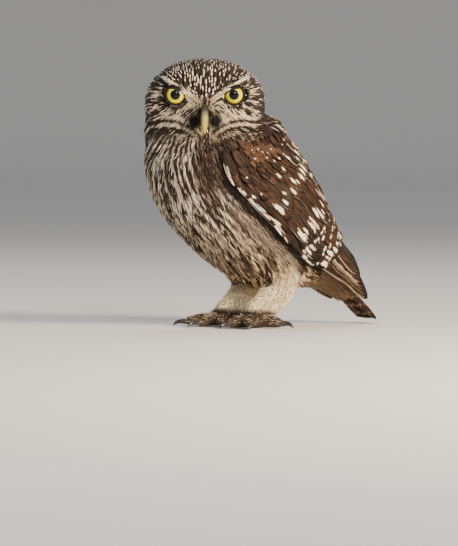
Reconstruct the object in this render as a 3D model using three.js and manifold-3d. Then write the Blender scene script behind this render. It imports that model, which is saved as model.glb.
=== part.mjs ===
// A little owl, life size, standing at rest with its head turned over its left shoulder.
// Millimetres, +Z up. The body faces -Y and the bird's left side is +X.
// The soles stand on Z = 0, and the origin is the centre of the whole bird's footprint.
import * as THREE from "three";
import { mergeVertices } from "three/addons/utils/BufferGeometryUtils.js";
import Module from "manifold-3d";

const wasm = await Module();
wasm.setup();

// Gap that touching pieces keep.
const GAP = 0.3;
const FLOOR_CLEARANCE = 0.25;

// The line through the body from the neck to the wing tips, with the body's radii about it.
// lean is how many degrees the line points below level. side, back and belly are the plumage's
// radii. wingSide and wingBack are those of the surface that the folded wing lies on.
const BODY_LINE = [
  { y: -28, z: 150, lean: 86, side: 34, back: 36, belly: 36, wingSide: 35, wingBack: 38 },
  { y: -26, z: 126, lean: 77, side: 39, back: 47, belly: 43, wingSide: 39.4, wingBack: 47.5 },
  { y: -19, z: 103, lean: 60, side: 40.5, back: 47.5, belly: 47, wingSide: 41.3, wingBack: 48 },
  { y: 7, z: 78, lean: 46, side: 41, back: 43, belly: 46, wingSide: 42.5, wingBack: 43.8 },
  { y: 31, z: 54, lean: 39, side: 35, back: 37, belly: 35, wingSide: 39, wingBack: 38.5 },
  { y: 52, z: 42, lean: 33, side: 24, back: 25.5, belly: 20, wingSide: 31, wingBack: 28 },
  { y: 70, z: 33, lean: 34, side: 13, back: 12, belly: 12, wingSide: 24, wingBack: 19 },
  { y: 88, z: 18, lean: 40, side: 8, back: 7, belly: 7, wingSide: 19.5, wingBack: 12.5 },
  { y: 102, z: 3, lean: 42, side: 5, back: 4, belly: 4, wingSide: 17, wingBack: 8 },
];
const NECK_TOP = 0.62;
const NECK_END = 1.25;
const TORSO_END = 5.55;
const TAIL_CORE_END = 6.9;

// The head, about its own centre, before it turns: x to the left, z up, the face looks along -Y.
const HEAD = {
  y: -27.8,
  z: 147.5,
  turn: THREE.MathUtils.degToRad(55),
  halfWidth: 39.5,
  crown: 27.5,
  chin: 30,
  face: 20.5,
  nape: 33,
  throat: { halfWidth: 34.5, front: 13, nape: 29 },
};
const EYE = { x: 18.8, out: 13.6, z: 3.2, radius: 8, lidOpening: 6.1, lidThickness: 1.25 };
const BROW = { innerX: 7.5, innerZ: 0.5, outerX: 28, outerZ: 15, radius: 3.3 };

const LEG_SPREAD = 18;
const HEEL = { y: 21, z: 29, radius: 9.6 };
const FOOT = { y: -2, z: 5, radius: 7.2, height: 5.4 };
const TAIL = { rootY: 58, rootZ: 45, tipY: 107.5, tipZ: 2.2, halfWidth: 13.5 };

// Angles about the body line: 0 is the middle of the back, 90 the bird's left side.
const radians = THREE.MathUtils.degToRad;
const mix = THREE.MathUtils.lerp;
const smooth = THREE.MathUtils.smoothstep;

const COLOURS = {
  plumage: 0x5b4230,
  pale: 0xcdb898,
  wing: 0x4a3020,
  bill: 0xc3b557,
  eye: 0xd9c61e,
  toe: 0x8d7350,
  claw: 0x1d1c1f,
};

// Reads a column of the body line at any place k along it, by a smooth curve through the rows.
function along(column, k) {
  const last = BODY_LINE.length - 1;
  const i = Math.min(Math.max(Math.floor(k), 0), last - 1);
  const t = k - i;
  const at = (n) => BODY_LINE[Math.min(Math.max(n, 0), last)][column];
  const [a, b, c, d] = [at(i - 1), at(i), at(i + 1), at(i + 2)];
  const cubic = -a + 3 * b - 3 * c + d;
  const square = 2 * a - 5 * b + 4 * c - d;
  return 0.5 * (2 * b + (c - a) * t + square * t * t + cubic * t * t * t);
}

// The centre, the direction to the tail and the direction to the back, at k.
function bodyFrame(k) {
  const lean = radians(along("lean", k));
  const centre = new THREE.Vector3(0, along("y", k), along("z", k));
  const rear = new THREE.Vector3(0, Math.cos(lean), -Math.sin(lean));
  const back = new THREE.Vector3(0, Math.sin(lean), Math.cos(lean));
  return { centre, rear, back };
}

// A point of the plumage at angle phi about the body line, out by extra.
function onBody(k, phi, extra = 0) {
  const { centre, back } = bodyFrame(k);
  const depth = along(Math.cos(phi) > 0 ? "back" : "belly", k);
  return centre
    .clone()
    .addScaledVector(back, Math.cos(phi) * (depth + extra))
    .add(new THREE.Vector3(Math.sin(phi) * (along("side", k) + extra), 0, 0));
}

// A point over the surface that the folded wing lies on, out by height.
function onWing(k, phi, height) {
  const { centre, back } = bodyFrame(k);
  return centre
    .clone()
    .addScaledVector(back, Math.cos(phi) * (along("wingBack", k) + height))
    .add(new THREE.Vector3(Math.sin(phi) * (along("wingSide", k) + height), 0, 0));
}

// A closed geometry from points and triangles, turned to face outwards.
function closed(points, triangles) {
  let volume = 0;
  for (const [a, b, c] of triangles) {
    volume += points[a].dot(points[b].clone().cross(points[c]));
  }
  const order = volume < 0 ? triangles.map(([a, b, c]) => [a, c, b]) : triangles;
  const geometry = new THREE.BufferGeometry().setFromPoints(points);
  geometry.setIndex(order.flat());
  return geometry;
}

// The closed skin over rings that hold the same number of points, with a fan at each end.
function skin(rings) {
  const count = rings[0].length;
  const points = rings.flat();
  const triangles = [];
  for (let r = 0; r + 1 < rings.length; r++) {
    for (let j = 0; j < count; j++) {
      const [a, b] = [r * count + j, r * count + ((j + 1) % count)];
      triangles.push([a, b, b + count], [a, b + count, a + count]);
    }
  }
  for (const end of [0, rings.length - 1]) {
    const middle = new THREE.Vector3();
    rings[end].forEach((p) => middle.addScaledVector(p, 1 / count));
    points.push(middle);
    for (let j = 0; j < count; j++) {
      const [a, b] = [end * count + j, end * count + ((j + 1) % count)];
      triangles.push(end ? [a, b, points.length - 1] : [b, a, points.length - 1]);
    }
  }
  return closed(points, triangles);
}

// A round tube through stations of { at, wide, tall }. tall lies along up, as nearly as it can.
function tube(stations, sides, up = new THREE.Vector3(0, 0, 1)) {
  const rings = stations.map(({ at, wide, tall = wide }, i) => {
    const before = stations[Math.max(i - 1, 0)].at;
    const after = stations[Math.min(i + 1, stations.length - 1)].at;
    const ahead = after.clone().sub(before).normalize();
    const across = ahead.clone().cross(up).normalize();
    const over = across.clone().cross(ahead);
    return Array.from({ length: sides }, (_, j) => {
      const turn = (2 * Math.PI * j) / sides;
      return at
        .clone()
        .addScaledVector(across, Math.cos(turn) * wide)
        .addScaledVector(over, Math.sin(turn) * tall);
    });
  });
  return skin(rings);
}

function ball(centre, radii, columns, rows, lean = 0) {
  const geometry = new THREE.SphereGeometry(1, columns, rows);
  return geometry.scale(...radii).rotateX(lean).translate(...centre);
}

// A three.js geometry as a solid, with its shared corners merged.
function solid(geometry) {
  const bare = new THREE.BufferGeometry();
  bare.setAttribute("position", geometry.getAttribute("position"));
  bare.setIndex(geometry.index);
  const merged = mergeVertices(bare, 1e-4);
  const corners = [];
  for (let i = 0; i < merged.index.count; i += 3) {
    const face = [0, 1, 2].map((j) => merged.index.getX(i + j));
    if (new Set(face).size === 3) corners.push(...face);
  }
  const vertProperties = merged.attributes.position.array;
  const triVerts = new Uint32Array(corners);
  return new wasm.Manifold(new wasm.Mesh({ numProp: 3, vertProperties, triVerts }));
}

function join(solids) {
  return solids.reduce((whole, piece) => whole.add(piece));
}

function cut(whole, ...cutters) {
  return cutters.reduce((left, cutter) => left.subtract(cutter), whole);
}

// The largest closed body of a solid, without loose scraps.
function largest(whole) {
  const bodies = whole.decompose();
  return bodies.reduce((best, body) => (body.volume() > best.volume() ? body : best));
}

const owl = new THREE.Group();

function addNode(name, whole, colour, roughness = 0.8) {
  const { numProp, vertProperties, triVerts } = largest(whole).getMesh();
  const corners = vertProperties.length / numProp;
  const positions = new Float32Array(corners * 3);
  for (let i = 0; i < corners; i++) {
    positions.set(vertProperties.subarray(i * numProp, i * numProp + 3), i * 3);
  }
  const geometry = new THREE.BufferGeometry();
  geometry.setAttribute("position", new THREE.BufferAttribute(positions, 3));
  geometry.setIndex(new THREE.BufferAttribute(triVerts, 1));
  geometry.computeVertexNormals();
  const material = new THREE.MeshStandardMaterial({ color: colour, roughness, metalness: 0 });
  const mesh = new THREE.Mesh(geometry, material);
  mesh.name = name;
  owl.add(mesh);
}

// Everything below the floor, for flats under what stands on it.
function underFloor(height = 0) {
  const size = 400;
  return solid(new THREE.BoxGeometry(size, size, size).translate(0, 0, height - size / 2));
}

// Head, built facing -Y about its own centre and then turned

function outOfFace(x, out, z) {
  return new THREE.Vector3(x, -out, z);
}

function headShape(extra = 0) {
  const geometry = new THREE.SphereGeometry(1, 32, 20);
  const position = geometry.getAttribute("position");
  for (let i = 0; i < position.count; i++) {
    const [dx, dy, dz] = [position.getX(i), position.getY(i), position.getZ(i)];
    const x = (HEAD.halfWidth + extra) * dx;
    const z = ((dz > 0 ? HEAD.crown : HEAD.chin) + extra) * dz;
    const spread = Math.min(Math.hypot(dx, dz), 1);
    const flat = Math.pow(1 - Math.pow(spread, 2.8), 0.6);
    const round = Math.sqrt(1 - spread * spread);
    const front = (HEAD.face + extra) * flat + faceRelief(x, z) * smooth(-dy, 0, 0.3);
    position.setXYZ(i, x, dy < 0 ? -front : (HEAD.nape + extra) * round, z);
  }
  return geometry;
}

// How far the face stands out from its plain form: hollow round the eyes, proud down the middle.
function faceRelief(x, z) {
  const fromEye = Math.hypot(Math.abs(x) - EYE.x, z - EYE.z);
  const hollow = -2.6 * Math.exp(-Math.pow(fromEye / 9.5, 2));
  const rimAt = Math.hypot(x / HEAD.halfWidth, (z + 3) / 27);
  const rim = 1.4 * Math.exp(-Math.pow((rimAt - 0.86) / 0.09, 2));
  const bridge = 3.2 * Math.exp(-Math.pow(x / 6.5, 2) - Math.pow((z + 3) / 12, 2));
  const chin = 2.4 * Math.exp(-Math.pow(x / 13, 2) - Math.pow((z + 25) / 6, 2));
  return hollow + rim + bridge + chin;
}

// The overhang of the brow: a tapered ridge from beside the bill, out and up over the eye.
function browRidge(side) {
  const stations = [0, 0.25, 0.5, 0.75, 1].map((t) => {
    const x = side * mix(BROW.innerX, BROW.outerX, t);
    const out = HEAD.face - 1.2 - 8 * Math.pow(t, 3);
    const z = mix(BROW.innerZ, BROW.outerZ, t) + 1.5 * Math.sin(Math.PI * t);
    return { at: outOfFace(x, out, z), wide: BROW.radius * Math.sin(Math.PI * (0.12 + 0.76 * t)) };
  });
  return solid(tube(stations, 8));
}

function eyeBall(side, extra = 0) {
  const radius = EYE.radius + extra;
  return solid(ball(outOfFace(side * EYE.x, EYE.out, EYE.z), [radius, radius, radius], 16, 10));
}

// The lids: a soft ring round the eye.
function lidRing(side) {
  const ring = new THREE.TorusGeometry(EYE.lidOpening + EYE.lidThickness, EYE.lidThickness, 6, 20);
  const reach = Math.sqrt(EYE.radius ** 2 - EYE.lidOpening ** 2);
  ring.rotateX(Math.PI / 2);
  return solid(ring.translate(side * EYE.x, -(EYE.out + reach + 0.35), EYE.z));
}

// The stations of each half of the bill: out of the face, up, half width, half height.
const UPPER_BILL = [
  [16, -7, 4.3, 5.2],
  [21.5, -6.8, 4.1, 4.9],
  [25.6, -8.6, 3.6, 4.2],
  [28.4, -12, 2.9, 3.3],
  [29.4, -16, 2, 2.3],
  [29, -19.4, 1.15, 1.3],
  [28, -22.2, 0.4, 0.4],
];
const LOWER_BILL = [
  [15, -11.5, 3.2, 2.4],
  [19.5, -12.4, 3, 2.3],
  [23, -14, 2.4, 1.9],
  [25.4, -16, 1.4, 1.1],
  [26.2, -17.4, 0.4, 0.4],
];

function billHalf(stations, extra = 0) {
  const rings = stations.map(([out, z, wide, tall]) => ({
    at: outOfFace(0, out, z),
    wide: wide + extra,
    tall: tall + extra,
  }));
  return solid(tube(rings, 12));
}

function nostrils() {
  const pit = (side) => solid(ball(outOfFace(side * 3.7, 22.6, -5), [1.1, 1.1, 0.9], 8, 6));
  return join([pit(-1), pit(1)]);
}

// Carries a solid from the head's own frame into the bird's.
function turned(whole) {
  const turn = new THREE.Matrix4().makeRotationZ(HEAD.turn);
  turn.setPosition(0, HEAD.y, HEAD.z);
  return whole.transform(turn.elements);
}

const headClear = turned(solid(headShape(GAP)));

function addHead() {
  const skull = join([solid(headShape()), browRidge(-1), browRidge(1), lidRing(-1), lidRing(1)]);
  const bill = billHalf(UPPER_BILL);
  const billClear = billHalf(UPPER_BILL, GAP);
  const sockets = [eyeBall(-1, GAP), eyeBall(1, GAP), billClear, billHalf(LOWER_BILL, GAP)];
  addNode("head", turned(cut(skull, ...sockets)), COLOURS.plumage);
  addNode("eye_left", turned(eyeBall(1)), COLOURS.eye, 0.1);
  addNode("eye_right", turned(eyeBall(-1)), COLOURS.eye, 0.1);
  addNode("beak_upper", turned(cut(bill, nostrils())), COLOURS.bill, 0.4);
  addNode("beak_lower", turned(cut(billHalf(LOWER_BILL), billClear)), COLOURS.bill, 0.4);
}

// Neck and torso

// The closed skin of rings between two places on the body line, with flat ends.
// With extra it is that much larger all round, ends too, for what has to stay clear of it.
function lengthOf(ringPoint, from, to, rows, columns, extra = 0) {
  const ring = (k, shift = 0) =>
    Array.from({ length: columns }, (_, j) =>
      ringPoint(k, (2 * Math.PI * j) / columns, extra).addScaledVector(bodyFrame(k).rear, shift),
    );
  const rings = Array.from({ length: rows + 1 }, (_, i) => ring(mix(from, to, i / rows)));
  return solid(skin(extra ? [ring(from, -extra), ...rings, ring(to, extra)] : rings));
}

// The length along the body line of one step of k, to turn a gap into a part of such a step.
function stepOf(k) {
  return bodyFrame(k + 0.5).centre.distanceTo(bodyFrame(k - 0.5).centre);
}

// Round the throat the plumage takes the section of the turned head, and lower down the body's.
function onNeck(k, phi, extra) {
  const { halfWidth, front, nape } = HEAD.throat;
  const across = Math.cos(HEAD.turn) * Math.sin(phi) + Math.sin(HEAD.turn) * Math.cos(phi);
  const ahead = Math.sin(HEAD.turn) * Math.sin(phi) - Math.cos(HEAD.turn) * Math.cos(phi);
  const reach = extra + 1 / Math.hypot(across / halfWidth, ahead / (ahead > 0 ? front : nape));
  const { centre } = bodyFrame(k);
  const ring = new THREE.Vector3(Math.sin(phi) * reach, HEAD.y + Math.cos(phi) * reach, centre.z);
  const gone = THREE.MathUtils.clamp((k - NECK_TOP) / (NECK_END - NECK_TOP), 0, 1);
  return ring.lerp(onBody(k, phi, extra), Math.pow(gone, mix(0.6, 1.5, Math.max(ahead, 0))));
}

const torsoStart = NECK_END + GAP / stepOf(NECK_END);
const tailStart = TORSO_END + GAP / stepOf(TORSO_END);

function torsoShape(extra) {
  return lengthOf(onBody, torsoStart, TORSO_END, 16, 32, extra);
}

function neckShape(extra) {
  return lengthOf(onNeck, NECK_TOP, NECK_END, 4, 28, extra);
}

const torsoClear = torsoShape(GAP);
const neckClear = neckShape(GAP);

function addBody() {
  addNode("neck", cut(neckShape(), headClear), COLOURS.plumage);
  addNode("torso", cut(torsoShape(), headClear), COLOURS.plumage);
}

// Wings and tail

// The closed plate between two sheets of points over rows by columns of patches.
// Both sheets are split into triangles alike, so that a thin plate never cuts itself.
function plate(rows, columns, over, under) {
  const points = [];
  for (let r = 0; r <= rows; r++) {
    for (let c = 0; c <= columns; c++) {
      points.push(over(r / rows, c / columns), under(r / rows, c / columns));
    }
  }
  const at = (r, c, low) => 2 * (r * (columns + 1) + c) + low;
  const faces = [];
  const quad = (a, b, c, d) => faces.push([a, b, c], [a, c, d]);
  for (let r = 0; r < rows; r++) {
    for (let c = 0; c < columns; c++) {
      const [p, q, s, t] = [at(r, c, 0), at(r, c + 1, 0), at(r + 1, c + 1, 0), at(r + 1, c, 0)];
      quad(p, q, s, t);
      faces.push([p + 1, s + 1, q + 1], [p + 1, t + 1, s + 1]);
    }
    quad(at(r, 0, 1), at(r, 0, 0), at(r + 1, 0, 0), at(r + 1, 0, 1));
    quad(at(r, columns, 0), at(r, columns, 1), at(r + 1, columns, 1), at(r + 1, columns, 0));
  }
  for (let c = 0; c < columns; c++) {
    quad(at(0, c, 0), at(0, c, 1), at(0, c + 1, 1), at(0, c + 1, 0));
    quad(at(rows, c, 1), at(rows, c, 0), at(rows, c + 1, 0), at(rows, c + 1, 1));
  }
  return solid(closed(points, faces));
}

function mirrored(whole) {
  return whole.transform(new THREE.Matrix4().makeScale(-1, 1, 1).elements);
}

// A feather's half width as a share of its widest, from root to rounded tip.
function vaneOutline(t) {
  const tip = Math.max(0, (t - 0.55) / 0.45);
  return Math.min(0.6 + 1.2 * t, 1) * Math.sqrt(1 - 0.98 * tip * tip);
}

// A vane over a surface. spot(t, side, height) is the point at t from root to tip, side from the
// left edge to the right one and height over the surface. It is thickest along its shaft.
function vane(rows, thick, spot) {
  const sheet = (share) => (u, v) => {
    const t = 1 - Math.pow(1 - u, 1.5);
    const side = 2 * v - 1;
    const edge = Math.abs(side);
    return spot(t, side * vaneOutline(t), share * thick * mix(0.5, 0.3, edge) - 0.2 * edge);
  };
  return plate(rows, 2, sheet(1), sheet(-1));
}

// Where the wing starts and ends along the body line, and the angles of its edges.
const WING = { start: 1.3, plateEnd: 5, tip: 7.05, lowEdge: 119, lowEdgeTip: 101, highEdge: 12 };
const WING_PLATE = 2;

// The angle of the wing's lower edge at k.
function lowEdgeAt(k) {
  return mix(WING.lowEdge, WING.lowEdgeTip, (k - WING.start) / (WING.tip - WING.start));
}

// A place on the wing under the feathers: u from shoulder to rear, v from upper to lower edge.
function wingPlace(u, v) {
  const bulge = 0.5 * Math.pow(Math.abs(2 * v - 1), 2.5);
  const k = mix(WING.start + bulge, WING.plateEnd - bulge, u);
  return [k, radians(mix(WING.highEdge, lowEdgeAt(k), v))];
}

// The arm and the skin of the wing, which the feathers are rooted in.
function wingPlate() {
  const rounded = (v) => Math.pow(Math.sin(Math.PI * mix(0.05, 0.95, v)), 0.5);
  const over = (u, v) => onWing(...wingPlace(u, v), 0.5 + WING_PLATE * smooth(u, -0.05, 0.1) * rounded(v));
  const under = (u, v) => onWing(...wingPlace(u, v), -0.8);
  return plate(8, 6, over, under);
}

// The tiers of the folded wing, from the lowest to the one on top. Feather i of a tier lies
// between a root and a tip of [k, degrees above the lower edge], and its tip stands at height.
const WING_TIERS = [
  { name: "primaries", count: 5, width: 11, height: (i) => 0.9 + 0.5 * i,
    root: (i) => [4.3, 6 + 9 * i], tip: (i) => [7.05 - 0.21 * i, 4 + 6.5 * i] },
  { name: "secondaries", count: 5, width: 18, height: (i) => 2.5 + 0.15 * i,
    root: (i) => [3.5, 14 + 18 * i], tip: (i) => [4.95 + 0.08 * i, 12 + 18 * i] },
  { name: "primary coverts", count: 1, width: 9, height: () => 2.4,
    root: () => [2.8, 8], tip: () => [4.3, 5] },
  { name: "greater coverts", count: 5, width: 19, height: () => 3.2,
    root: (i) => [2.5, 16 + 16 * i], tip: (i) => [3.9 + 0.07 * i, 14 + 18 * i] },
  { name: "median coverts", count: 4, width: 20, height: () => 3.7,
    root: (i) => [1.7, 20 + 18 * i], tip: (i) => [2.9 + 0.06 * i, 16 + 20 * i] },
  { name: "scapulars", count: 3, width: 18, height: () => 4.2,
    root: (i) => [1.6 + 0.5 * i, 80 + 8 * i], tip: (i) => [2.9 + 0.6 * i, 76 + 10 * i] },
];

function wingVane(tier, i) {
  const [[rootK, rootUp], [tipK, tipUp]] = [tier.root(i), tier.tip(i)];
  const rootHeight = 1;
  const spot = (t, side, height) => {
    const k = mix(rootK, tipK, t);
    const phi = radians(lowEdgeAt(k) - mix(rootUp, tipUp, t));
    const spread = (side * tier.width) / 2 / along("wingSide", k);
    return onWing(k, phi - spread, height + mix(rootHeight, tier.height(i), Math.pow(t, 0.7)));
  };
  return vane(tipK - rootK > 2 ? 4 : 3, 0.9, spot);
}

function addWings() {
  const vanes = WING_TIERS.flatMap((tier) => Array.from({ length: tier.count }, (_, i) => wingVane(tier, i)));
  const wing = cut(join([wingPlate(), ...vanes]), torsoClear, neckClear, headClear);
  addNode("wing_left", wing, COLOURS.wing);
  addNode("wing_right", mirrored(wing), COLOURS.wing);
}

// A point over the tail's plane: s from root to tip, x to the bird's left, out by height.
function onTail(s, x, height) {
  const lean = new THREE.Vector2(TAIL.tipY - TAIL.rootY, TAIL.tipZ - TAIL.rootZ).normalize();
  const arch = 1.2 * Math.pow(x / TAIL.halfWidth, 2);
  const y = mix(TAIL.rootY, TAIL.tipY, s) - lean.y * (height - arch);
  const z = mix(TAIL.rootZ, TAIL.tipZ, s) + lean.x * (height - arch);
  return new THREE.Vector3(x, y, z);
}

// The tiers of the tail. place runs from -1 at its right edge to 1 at its left one.
const TAIL_TIERS = [
  { name: "tail feathers", count: 10, width: 9, from: 0.1, rootX: 4, tipX: 9.6, root: () => 0.3,
    to: (place) => 1 - 0.06 * place * place, height: (place) => 1.1 - 2.4 * Math.abs(place) },
  { name: "upper coverts", count: 3, width: 11, from: 0.05, rootX: 4, tipX: 6.5, root: () => 1.4,
    to: (place) => 0.56 - 0.08 * place * place, height: () => 2 },
  { name: "under coverts", count: 3, width: 11, from: 0.05, rootX: 4, tipX: 6.5, root: () => -4.5,
    to: (place) => 0.62 - 0.1 * place * place, height: () => -2.6 },
];

function tailVane(tier, i) {
  const place = (2 * i) / (tier.count - 1) - 1;
  const spot = (t, side, height) => {
    const x = mix(tier.rootX, tier.tipX, t) * place + (side * tier.width) / 2;
    const level = mix(tier.root(place), tier.height(place), t);
    return onTail(mix(tier.from, tier.to(place), t), x, height + level);
  };
  return vane(3, 0.9, spot);
}

function addTail() {
  const core = lengthOf(onBody, tailStart, TAIL_CORE_END, 4, 18);
  const vanes = TAIL_TIERS.flatMap((tier) => Array.from({ length: tier.count }, (_, i) => tailVane(tier, i)));
  const tail = cut(join([core, ...vanes]), torsoClear, underFloor(FLOOR_CLEARANCE));
  addNode("tail", tail, COLOURS.wing);
}

// Legs

function thigh(side, extra = 0) {
  const stations = [
    [22, 2, 66, 10],
    [22, 6, 60, 14.5],
    [21, 12, 51, 16.2],
    [20, 18, 41, 15],
    [19.5, 21.5, 34, 12.5],
    [19, 23, 29.5, 10.5],
  ].map(([x, y, z, wide]) => ({ at: new THREE.Vector3(side * x, y, z), wide: wide + extra }));
  return solid(tube(stations, 16, new THREE.Vector3(0, -1, 0)));
}

function shank(side, extra = 0) {
  const stations = [
    [HEEL.y + 2, HEEL.z + 5, 7, 7],
    [HEEL.y, HEEL.z - 1, HEEL.radius, HEEL.radius],
    [HEEL.y - 5, HEEL.z - 8, HEEL.radius + 0.3, HEEL.radius],
    [HEEL.y - 13, HEEL.z - 14, 8.4, 8.2],
    [FOOT.y + 2, FOOT.z + 6, 7.2, 6.8],
    [FOOT.y - 2.5, FOOT.z + 3.6, 5.6, 4.6],
  ].map(([y, z, wide, tall], i) => ({
    at: new THREE.Vector3(side * (LEG_SPREAD - 0.4 * i), y, z),
    wide: wide + extra,
    tall: tall + extra,
  }));
  return solid(tube(stations, 14, new THREE.Vector3(0, -1, 0.4)));
}

function footPad(side, extra = 0) {
  const centre = new THREE.Vector3(side * (LEG_SPREAD - 2), FOOT.y, FOOT.z);
  const radius = FOOT.radius + extra;
  return solid(ball(centre, [radius, radius, FOOT.height + extra], 14, 8));
}

// The toes by name: turn in degrees from straight ahead towards the outside, toe and claw length.
const TOES = {
  left: [
    { name: "inner", turn: 8, toe: 17, claw: 9.5 },
    { name: "middle", turn: 50, toe: 19, claw: 10.5 },
    { name: "outer", turn: 124, toe: 18, claw: 9 },
    { name: "hind", turn: 196, toe: 13, claw: 8 },
  ],
  right: [
    { name: "inner", turn: -50, toe: 17, claw: 9.5 },
    { name: "middle", turn: -9, toe: 20, claw: 10.5 },
    { name: "outer", turn: 36, toe: 21, claw: 10.5 },
    { name: "hind", turn: 166, toe: 13, claw: 8 },
  ],
};

// The direction of a toe on the floor.
function toeAhead(side, turn) {
  return new THREE.Vector3(side * Math.sin(radians(turn)), -Math.cos(radians(turn)), 0);
}

function toeStations(side, { turn, toe }, extra = 0) {
  const ahead = toeAhead(side, turn);
  const root = new THREE.Vector3(side * (LEG_SPREAD - 2), FOOT.y, 0);
  return [
    [0.1, 5, 4.4, 4.8],
    [0.45, 4.6, 4.2, 4.5],
    [0.7, 4, 3.7, 4],
    [0.88, 3.5, 3.4, 3.5],
    [1, 3.2, 2.5, 2.6],
  ].map(([t, z, wide, tall]) => ({
    at: root.clone().addScaledVector(ahead, FOOT.radius * 0.5 + toe * t).setZ(z),
    wide: wide + extra,
    tall: tall + extra,
  }));
}

function digit(side, toe, extra) {
  return solid(tube(toeStations(side, toe, extra), 8));
}

// A talon: a quarter turn and more of a tapering round horn, down to just over the floor.
function talon(side, toe) {
  const ahead = toeAhead(side, toe.turn);
  const end = toeStations(side, toe).at(-1).at;
  const base = end.clone().addScaledVector(ahead, 2 * GAP);
  const bend = toe.claw / 1.75;
  const rise = 0.75;
  const stations = Array.from({ length: 6 }, (_, i) => {
    const t = i / 5;
    const angle = mix(-0.25, 1.45, t);
    const forward = bend * (Math.sin(angle) + Math.sin(0.25));
    const height = bend * (Math.cos(angle) - Math.cos(0.25)) * rise;
    const at = base.clone().addScaledVector(ahead, forward).setZ(end.z + height);
    return { at, wide: mix(1.55, 0.3, t), tall: mix(1.8, 0.35, t) };
  });
  return solid(tube(stations, 7));
}

function addLegs() {
  const floor = underFloor();
  const lifted = underFloor(FLOOR_CLEARANCE);
  for (const [name, side] of [["left", 1], ["right", -1]]) {
    const thighPiece = cut(thigh(side), torsoClear);
    addNode(`thigh_${name}`, thighPiece, COLOURS.pale);
    addNode(`shank_${name}`, cut(shank(side), thigh(side, GAP), torsoClear, lifted), COLOURS.pale);
    addNode(`foot_${name}`, cut(footPad(side), shank(side, GAP), floor), COLOURS.toe);
    const taken = [footPad(side, GAP), shank(side, GAP), floor];
    for (const toe of TOES[name]) {
      const label = `${toe.name}_${name}`;
      addNode(`toe_${label}`, cut(digit(side, toe), ...taken), COLOURS.toe);
      addNode(`claw_${label}`, cut(talon(side, toe), lifted), COLOURS.claw, 0.3);
      taken.push(digit(side, toe, GAP));
    }
  }
}

addHead();
addBody();
addWings();
addTail();
addLegs();

// The origin goes to the middle of the footprint, on the floor.
const extent = new THREE.Box3().setFromObject(owl);
const middle = extent.getCenter(new THREE.Vector3());
owl.position.set(-middle.x, -middle.y, -extent.min.z);

export default owl;
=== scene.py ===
"""The looks of a life-size little owl, standing still with its head turned over its left
shoulder. Metres, +Z up. The body faces -Y and the bird's own left side is +X."""

import math

import bpy
import numpy as np
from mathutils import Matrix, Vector
from mathutils.bvhtree import BVHTree
from mathutils.kdtree import KDTree


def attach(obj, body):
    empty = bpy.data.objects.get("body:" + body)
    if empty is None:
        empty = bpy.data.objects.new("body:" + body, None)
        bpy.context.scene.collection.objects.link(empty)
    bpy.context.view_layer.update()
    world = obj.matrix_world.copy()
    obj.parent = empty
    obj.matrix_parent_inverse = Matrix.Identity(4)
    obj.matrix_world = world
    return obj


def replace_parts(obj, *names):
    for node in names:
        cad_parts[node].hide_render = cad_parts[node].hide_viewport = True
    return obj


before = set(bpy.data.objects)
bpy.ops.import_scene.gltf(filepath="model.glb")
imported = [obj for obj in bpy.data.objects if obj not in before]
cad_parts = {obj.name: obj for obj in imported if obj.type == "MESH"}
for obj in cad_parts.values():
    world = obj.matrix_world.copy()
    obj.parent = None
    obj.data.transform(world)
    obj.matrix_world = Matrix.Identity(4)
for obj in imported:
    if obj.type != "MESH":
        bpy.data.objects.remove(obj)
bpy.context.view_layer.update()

# Camera and light. The camera looks level at the bird's left front from three metres off,
# through a long lens. The floor is pale card, swept up behind the bird into a backdrop.
CAMERA_TURN, CAMERA_RISE = math.radians(55), math.radians(2)
CAMERA_AWAY = 3.0
FRAME_HEIGHT = 0.3549
AIM = Vector((-0.0041, -0.0263, 0.0351))


def from_bird(turn, rise, away):
    """A place seen from the bird at a turn from straight ahead to its left, and a rise."""
    level = math.cos(rise)
    return Vector((math.sin(turn) * level, -math.cos(turn) * level, math.sin(rise))) * away


camera = bpy.data.objects.new("camera", bpy.data.cameras.new("camera"))
bpy.context.scene.collection.objects.link(camera)
camera.location = AIM + from_bird(CAMERA_TURN, CAMERA_RISE, CAMERA_AWAY)
camera.rotation_euler = (AIM - camera.location).to_track_quat("-Z", "Y").to_euler()
camera.data.sensor_width = 36
camera.data.lens = 36 * CAMERA_AWAY / FRAME_HEIGHT
camera.data.clip_start, camera.data.clip_end = 0.1, 50
bpy.context.scene.camera = camera


def fresh_material(name):
    """A new node material, with its shader and a function that adds and links nodes."""
    material = bpy.data.materials.new(name)
    material.use_nodes = True
    tree = material.node_tree
    shader = next(n for n in tree.nodes if n.type == "BSDF_PRINCIPLED")

    def add(kind, settings=None, **links):
        node = tree.nodes.new("ShaderNode" + kind)
        for key, value in (settings or {}).items():
            setattr(node, key, value)
        for key, value in links.items():
            socket = node.inputs[int(key[1:]) if key[1:].isdigit() else key.replace("_", " ")]
            if isinstance(value, bpy.types.Node):
                value = value.outputs[0]
            if isinstance(value, bpy.types.NodeSocket):
                tree.links.new(value, socket)
            else:
                socket.default_value = value
        return node

    def link(source, target):
        tree.links.new(source, target)

    return material, shader, add, link


def paint_ends(tone, first, first_at, last, last_at):
    """The two end colours of a colour ramp, and where they start and stop."""
    ends = tone.color_ramp.elements
    ends[0].color, ends[0].position = (*first, 1), first_at
    ends[1].color, ends[1].position = (*last, 1), last_at


bpy.ops.object.select_all(action="DESELECT")

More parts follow.
